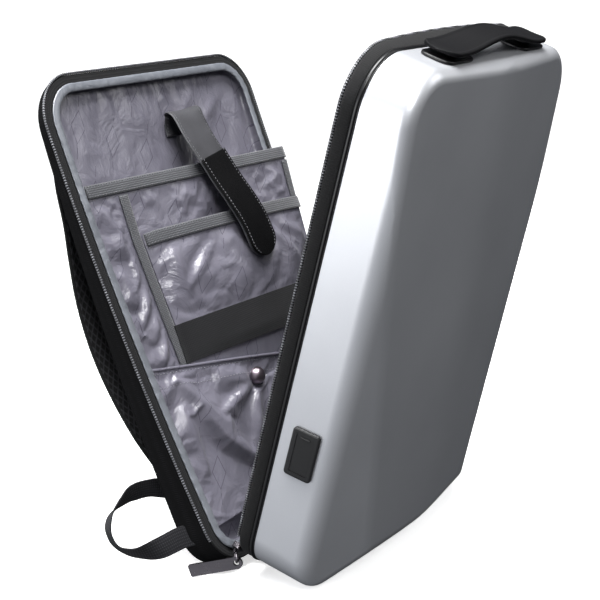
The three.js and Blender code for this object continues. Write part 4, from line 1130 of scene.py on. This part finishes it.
def tabletPocket():
    o = organiser
    grid = panel(pocketSide, steady(o["right"] - 3), steady(o["pocketFloor"]), pocketTop, 100, 90, pocketFace)
    x, z = grid[..., 0], grid[..., 2]
    grid = creased(grid, pocketLoose(x, z), inBack(x, pocketY(x, z), z), slackCloth["pocketGrow"])
    made = slab("tablet_pocket_cloth", grid, 1.0, liningSatin, "back")
    return dress(made, "lining", "tablet_pocket")


def lowerFolds(x, z):
    total = ripple(x, z, 51, 40, 2.6)
    for fold in ((-4, 131, -70, 150, 8, 4.5), (-4, 131, -62, 118, 7, 5.5), (-4, 131, -30, 78, 7, 5.0),
                 (-100, 165, -60, 96, 7, 5.5), (-88, 128, -40, 60, 8, 5.0), (-60, 92, -20, 50, 7, 4.5),
                 (-104, 140, -98, 70, 6, 4.0), (6, 120, 14, 60, 6, 4.5), (30, 128, 60, 70, 7, 4.0)):
        total = total + ridge(x, z, *fold)
    return np.clip(total, -1.5, 8)


def lowerLoose(x, z):
    o = organiser
    hem = 1 - fade(z, lowerTop(x) - 16, lowerTop(x) - 2)
    side = fade(x, o["lowerLeft"], o["lowerLeft"] + 10) * (1 - fade(x, o["right"] - 16, o["right"] - 1))
    snap = fade(np.hypot(x - snapSizes["side"], z - snapSizes["foot"]), 7, 16)
    return hem * side * snap * fade(z, o["floor"], o["floor"] + 14)


def lowerFace(x, z):
    return lowerY(x, z) - lowerFolds(x, z) * lowerLoose(x, z)


def lowerPocket():
    o = organiser
    grid = panel(steady(o["lowerLeft"]), steady(o["right"] - 1), steady(o["floor"] + 1), lowerTop, 140, 90,
                 lowerFace)
    x, z = grid[..., 0], grid[..., 2]
    grid = creased(grid, lowerLoose(x, z), inBack(x, lowerY(x, z), z), slackCloth["lowerGrow"])
    made = slab("lower_pocket_cloth", grid, 1.0, liningSatin, "back")
    dress(made, "lining", "lower_pocket")
    rolled = strip(grid[-1] + [0, -0.3, -0.8], (0, 0, 1), 2.6, 1.8, roundSection(10, 0.8, 0.8))
    dress(skin("lower_pocket_hem", rolled, liningSatin, "back", flat=rolled[..., ::2] / 1000), "lining")
    for row, name in ((-4, "hem_thread_upper"), (-12, "hem_thread_lower")):  # two sewn lines under the hem
        seam = grid[row] + [0, -0.3, 0]
        dress(stitches(name, seam, (0, -1, 0), "back", 3.6, 2.4, 0.3, paleThread), "lining")


laptopSleeve()
tabletPocket()
lowerPocket()


def bindingStrip(name, path, width, across, node):
    rows = strip(path, across, width, 1.5, roundSection(14, 0.35, 0.9))
    dress(skin(name, rows, bindingCloth, "back"), "binding", node)
    across = np.array(across, float)
    for way in (-1, 1):
        seam = path + across * way * (width / 2 - 1.6) + [0, -0.8, 0]
        dress(stitches("%s_thread_%s" % (name, "low" if way < 0 else "high"), seam, (0, -1, 0), "back",
                       3.0, 2.0, 0.3, darkThread), "binding")


def bindings():
    o = organiser
    lift = pack["gap"] + 0.75
    x = np.linspace(o["left"], o["right"] - 3, 70)
    z = sleeveTop(x) - o["binding"] / 2 + 1
    bindingStrip("sleeve_binding_cloth", inBack(x, sleeveY(x, z) - lift, z), o["binding"], (0, 0, 1),
                 "sleeve_binding")
    x = np.linspace(pocketSide(285) + 0.5, o["right"] - 4, 70)
    z = pocketTop(x) - o["binding"] / 2 + 1
    bindingStrip("pocket_binding_cloth", inBack(x, pocketY(x, z) - lift, z), o["binding"], (0, 0, 1),
                 "pocket_binding")
    z = np.linspace(o["elasticFoot"] - o["binding"], sleeveTop(-78) - o["binding"] - 0.6, 60)
    x = pocketSide(z) - o["binding"] / 2
    bindingStrip("left_edge_cloth", inBack(x, sleeveY(x, z) - lift - 0.4, z), o["binding"] - 0.8, (1, 0, 0),
                 "side_binding_left")
    z = np.linspace(o["pocketTop"][1] - o["elasticHigh"], sleeveTop(135.0) - o["binding"] - 0.6, 30)
    x = o["right"] - 6 + 0 * z
    bindingStrip("right_edge_cloth", inBack(x, sleeveY(x, z) - lift, z), 9, (1, 0, 0),
                 "side_binding_right")


bindings()


def elasticBand():
    o = organiser
    grid = panel(steady(o["pocketLeft"][0] - 9), steady(o["right"] - 4), elasticLow,
                 lambda x: elasticLow(x) + o["elasticHigh"], 80, 12,
                 lambda x, z: pocketY(x, z) - 2 * pack["gap"] - o["cloth"])
    made = slab("elastic_cloth", grid, 1.4, elasticCloth, "back")
    return dress(made, "elastic", "elastic_band")


elasticBand()
print("organiser made")


# Snap button, on the lower pocket's face.
def snapButton():
    x, z = np.array(snapSizes["side"], float), np.array(snapSizes["foot"], float)

    def onFace(x, z):
        return inBack(x, lowerFace(x, z), z)

    acrossFace = onFace(x + 6, z) - onFace(x - 6, z)
    upFace = onFace(x, z + 6) - onFace(x, z - 6)
    normal = Vector(np.cross(acrossFace, upFace).tolist()).normalized()
    profile = [(1, 0), (1.04, 0.1), (1.0, 0.28), (0.95, 0.42), (0.82, 0.66), (0.62, 0.85), (0.38, 0.96),
               (0.08, 0.995)]
    a = np.linspace(0, 2 * np.pi, 40, endpoint=False)
    turnTo = Vector((0, 0, 1)).rotation_difference(normal).to_matrix()
    rows = []
    for share, height in profile:
        rows.append([tuple(turnTo @ Vector((share * snapSizes["radius"] * math.cos(t),
                                            share * snapSizes["radius"] * math.sin(t),
                                            height * snapSizes["height"]))) for t in a])
    seat = onFace(x, z) + np.array(normal) * 0.2
    return dress(skin("snap_cap", np.array(rows) + seat, darkDome, "back"), "gunmetal", "snap_button")


snapButton()

# Laptop strap.
keeper = {
    "width": 42, "thick": 2.4, "tabThick": 1.5,
    "route": ((0.088, -0.1684, 0.8455), (0.088, -0.1632, 0.8659), (0.087, -0.0658, 0.883),
              (0.083, 0.1053, 0.8898), (0.075, 0.2895, 0.875), (0.0667, 0.4605, 0.8295),
              (0.0733, 0.6053, 0.7773), (0.0867, 0.7105, 0.7227), (0.105, 0.8026, 0.6727),
              (0.125, 0.8421, 0.6227), (0.135, 0.8289, 0.575), (0.1417, 0.7895, 0.5364)),
}


keeperAcross = np.array([1, 0, 0.06])  # way of the strap's width


def keeperPath(start, lift, steps):
    side, fore, height = (np.array(v) for v in zip(*keeper["route"]))
    z = height * pack["height"]
    return smoothPath(inBack(side * pack["width"], -fore * organiser["depth"] - lift, z)[start:], steps)


def keeperTip(path):  # share of the full width, rounded off at the free end
    length = lengthAlong(path)
    left = (length[-1] - length) / keeper["width"]
    return np.sqrt(np.clip(1 - np.clip(1 - left / 0.42, 0, 1) ** 2, 0.02, 1))


def keeperStrip(name, start, lift, thick, material, node):
    path = keeperPath(start, lift, 90)
    rows = strip(path, keeperAcross, keeper["width"] * keeperTip(path), thick, roundSection(20, 0.3, 0.7))
    dress(skin(name, rows, material, "back"), "leather", node)


def keeperSeams():
    for start, lift, name, inset, thread in ((0, 0, "strap", 3, darkThread), (6, 0, "tab", 3.2, paleThread)):
        thick = keeper["thick"] / 2 if name == "strap" else keeper["thick"] / 2 + 0.55 + keeper["tabThick"]
        path = keeperPath(start, lift, 90)
        tip = keeperTip(path)
        along = np.gradient(path, axis=0)
        along /= np.linalg.norm(along, axis=1, keepdims=True)
        side = keeperAcross - along * (along @ keeperAcross)[:, None]
        side /= np.linalg.norm(side, axis=1, keepdims=True)
        out = np.cross(along, side)
        out *= -np.sign(out[:, 1:2] + 1e-9)
        for way in (-1, 1):
            edge = path + side * (way * (keeper["width"] / 2 * tip - inset))[:, None] + out * (thick + 0.05)
            made = stitches("keeper_thread_%s_%s" % (name, "left" if way < 0 else "right"), edge[:84],
                            out[:84], "back", material=thread)
            dress(made, "leather")


tabLift = keeper["thick"] / 2 + pack["gap"] + keeper["tabThick"] / 2 + 0.25
keeperStrip("keeper_strap", 0, 0, keeper["thick"], strapLeather, "laptop_strap")
keeperStrip("keeper_tab", 6, tabLift, keeper["tabThick"], tabLeather, "laptop_strap_tab")
keeperSeams()
print("laptop strap made")

# Shoulder straps and webbing.
shoulder = {
    "centre": 106, "width": 66, "thick": 9, "bow": 52, "bead": 1.8,
    "route": ((0.895, 0.3192, 0.9), (0.85, 0.3538, 0.95), (0.795, 0.4519, 1), (0.73, 0.5577, 1),
              (0.66, 0.7308, 1), (0.575, 0.9135, 1), (0.48, 1, 1), (0.39, 0.9808, 0.98),
              (0.3, 0.8846, 0.94), (0.235, 0.7885, 0.84), (0.2, 0.74, 0.72)),
}
webbing = {
    "width": 19, "thick": 1.6,
    "route": ((0.64, 0.7115, 0.168), (0.74, 0.7, 0.168), (0.843, 0.742, 0.1734), (0.93, 0.926, 0.1883),
              (1.012, 1.088, 0.1931), (1.074, 1.221, 0.1858), (1.137, 1.387, 0.1712), (1.173, 1.494, 0.148),
              (1.176, 1.522, 0.1228), (1.164, 1.487, 0.1045), (1.141, 1.395, 0.0908),
              (1.112, 1.256, 0.0808), (1.08, 1.071, 0.0765), (1.053, 0.862, 0.0775),
              (1.022, 0.651, 0.0815), (1.0077, 0.5, 0.084), (0.985, 0.26, 0.0842)),
    "turn": ((0, 0, 1), (-0.08, -0.15, 0.98), (-0.12, -0.38, 0.91), (0.15, -0.58, 0.8),
             (0.25, -0.56, 0.78), (0.6, -0.62, 0.47), (0.56, -0.8, 0.12), (0.52, -0.84, -0.08),
             (0.53, -0.89, 0.11), (0.55, -0.87, 0.18), (0.5, -0.84, 0.37), (0.43, -0.72, 0.56),
             (0.3, -0.35, 0.88), (0.1, -0.05, 1), (0, 0, 1), (0, 0, 1), (0, 0, 1)),  # way of its width
}


def shoulderStrap(name, side):
    s = shoulder
    height, behind, width = (np.array(v) for v in zip(*s["route"]))
    z = height * pack["height"]
    centres = inBack(side * s["centre"] + 0 * z, behind * s["bow"], z)
    path = smoothPath(centres, 110)
    widths = smoothPath(np.stack([width, width, width], 1), 110)[:, 0] * s["width"]
    a = np.linspace(0, 2 * np.pi, 44, endpoint=False)
    x, y = blunt(np.cos(a), 0.45), blunt(np.sin(a), 0.75)
    seam = np.exp(-((np.abs(2 * x) - 0.86) / 0.05) ** 2)
    y = y * (1 - 0.35 * seam)  # sewn line inside the piped border
    end = np.linspace(0, 1, 110)
    thick = s["thick"] * np.clip(0.45 + 6 * np.minimum(end, 1 - end), 0, 1)
    rows = strip(path, (1, 0, 0), widths - 2, thick, np.stack([x, y], 1))
    made = skin("strap_pad_" + name, rows, meshCloth, "back")
    dress(made, "strap_mesh", "shoulder_strap_" + name)
    for edge in (-1, 1):
        border = path + np.array([1, 0, 0]) * (edge * (widths / 2 - 1.6))[:, None]
        dress(tube("strap_bead_%s_%s" % (name, "inner" if edge * side < 0 else "outer"), border, s["bead"],
                   bandCloth, "back"), "strap_mesh")


def webbingLoop(name, side):
    share, behind, height = (np.array(v) for v in zip(*webbing["route"]))
    centres = inBack(side * share * halfWidth, behind * shoulder["bow"], height * pack["height"])
    path = smoothPath(centres, 120)
    section = np.array([(-0.5, -0.35), (-0.42, -0.5), (0.42, -0.5), (0.5, -0.35), (0.5, 0.35), (0.42, 0.5),
                        (-0.42, 0.5), (-0.5, 0.35)])
    turn = smoothPath(np.array(webbing["turn"], float) * [side, 1, 1], 120)
    rows = strip(path, turn, webbing["width"], webbing["thick"], section)
    dress(skin("web_loop_" + name, rows, webCloth, "back", sharp=40), "webbing", "webbing_" + name)


for sideName, sideWay in (("left", -1), ("right", 1)):
    shoulderStrap(sideName, sideWay)
    webbingLoop(sideName, sideWay)
print("straps made")


# Cloth hinge between the halves.
def hingeCloth():
    half = halfWidth - pack["bottomRadius"] - 4
    start = np.array(places["shell"] @ Vector((0, (pack["bandEnd"] + 1.1) / 1000, 0.001))) * 1000
    endY = -pack["gap"] - backSizes["tapeThick"] - 0.9 + bow(1.0)
    end = np.array(places["back"] @ Vector((0, endY / 1000, 0.001))) * 1000
    t = np.linspace(0, 1, 24)
    path = np.stack([0 * t, lerp(start[1], end[1], t), lerp(start[2], end[2], t) - 3 * np.sin(np.pi * t)], 1)
    a = np.linspace(-1, 1, 60)
    top = np.stack([np.stack([a * half, 0 * a + p[1], 0 * a + p[2]], 1) for p in path])
    top[..., 2] += 0.7 + 0.35 * np.sin(a * 21)[None] * np.sin(np.pi * t)[:, None]
    made = slab("hinge_cloth", top, 1.4, bandCloth, "pack")
    return dress(made, "black_cloth", "hinge_strip")


hingeCloth()

# Zip slider, ring and pull keep their CAD shape, with a plated finish.
for nodeName in ("zip_slider", "zip_ring", "zip_pull"):
    for held in frame["nodes"][nodeName].material_slots:
        held.material = nickel
print("zip pieces dressed")

# Pale floor and backdrop in one bowl. It glows a little, so it stays near white behind the pack.
stageLook = {"floor": "#f4f4f3", "glow": 0.62, "wallHigh": 3.5}


def cyclorama():
    made = newMaterial("pale_floor", Roughness=0.9, Emission_Strength=stageLook["glow"],
                       Base_Color=linear(stageLook["floor"]), Emission_Color=(1, 1, 1, 1))[0]
    rows = []
    a = np.linspace(0, 2 * np.pi, 64, endpoint=False)
    profile = [(0.02, 0)] + [(r, 0) for r in (0.5, 1.0, 2.0, 3.0)]
    profile += [(3.0 + 1.0 * math.sin(t), 1.0 - 1.0 * math.cos(t)) for t in np.linspace(0.15, math.pi / 2, 9)]
    profile += [(4.0, stageLook["wallHigh"])]
    for radius, height in profile:
        rows.append(np.stack([radius * np.cos(a), radius * np.sin(a), height + 0 * a], 1) * 1000)
    floor = skin("studio_floor", rows, made, "pack", caps=(True, False))
    floor.visible_diffuse = False
    floor.visible_glossy = False


cyclorama()


def areaLight(name, spot, aim, size, power):
    light = bpy.data.lights.new(name, "AREA")
    light.shape = "RECTANGLE"
    light.size, light.size_y = size
    light.energy = power
    made = bpy.data.objects.new(name, light)
    bpy.context.scene.collection.objects.link(made)
    made.location = spot
    made.rotation_euler = (Vector(aim) - Vector(spot)).to_track_quat("-Z", "Y").to_euler()


areaLight("key_left", (-2.6, 1.1, 0.45), (0, 0, 0.22), (2.4, 1.6), 40)
areaLight("top_soft", (-0.3, -0.05, 2.2), (0, 0.05, 0.2), (1.8, 1.2), 132)
areaLight("front_fill", (-1.4, -1.7, 1.7), (0, 0, 0.2), (0.8, 0.7), 34)
areaLight("front_glow", (0.9, -1.3, 1.1), (0, -0.1, 0.4), (0.7, 0.7), 4)

# Studio air: a pale wall to the left and behind lights the side evenly, and the front sees a dark room.
airLook = {"dark": "#2c2e32", "pale": "#b2b5bb", "toward": (-0.75, 0.55, 0.35)}
world = bpy.data.worlds.new("studio_air")
bpy.context.scene.world = world
world.use_nodes = True
way = addNode(world.node_tree, "TexCoord").outputs["Generated"]
facing = addNode(world.node_tree, "VectorMath", {0: way, 1: airLook["toward"]}, operation="DOT_PRODUCT")
share = addNode(world.node_tree, "MapRange", {0: facing.outputs["Value"], 1: -0.25, 2: 0.8})
air = addNode(world.node_tree, "Mix", {0: share.outputs[0], 6: linear(airLook["dark"]),
                                       7: linear(airLook["pale"])}, data_type="RGBA")
world.node_tree.links.new(air.outputs[2], world.node_tree.nodes["Background"].inputs[0])
bpy.context.scene.view_settings.view_transform = "Standard"

# Camera.
lens = {"spot": (-0.8729, -0.5346, 0.4767), "toward": (0.809, 0.5316, -0.2508),
        "up": (0.2423, 0.0871, 0.9663), "pixels": 1190.09, "frame": 600, "centre": (291.07, 302.43)}


def photoCamera():
    camera = bpy.data.cameras.new("photo_camera")
    camera.sensor_width = 36
    camera.lens = 36 * lens["pixels"] / lens["frame"]
    camera.shift_x = (lens["frame"] / 2 - lens["centre"][0]) / lens["frame"]
    camera.shift_y = (lens["centre"][1] - lens["frame"] / 2) / lens["frame"]
    camera.clip_end = 30
    made = bpy.data.objects.new("photo_camera", camera)
    bpy.context.scene.collection.objects.link(made)
    toward = Vector(lens["toward"]).normalized()
    right = toward.cross(Vector(lens["up"])).normalized()
    up = right.cross(toward)
    turned = Matrix((right, up, -toward)).transposed().to_4x4()
    spot = Vector(lens["spot"]) + Vector((0, shellSpot.y / 1000, 0))
    made.matrix_world = Matrix.Translation(spot) @ turned
    bpy.context.scene.camera = made


photoCamera()
print("stage, lights and camera set")
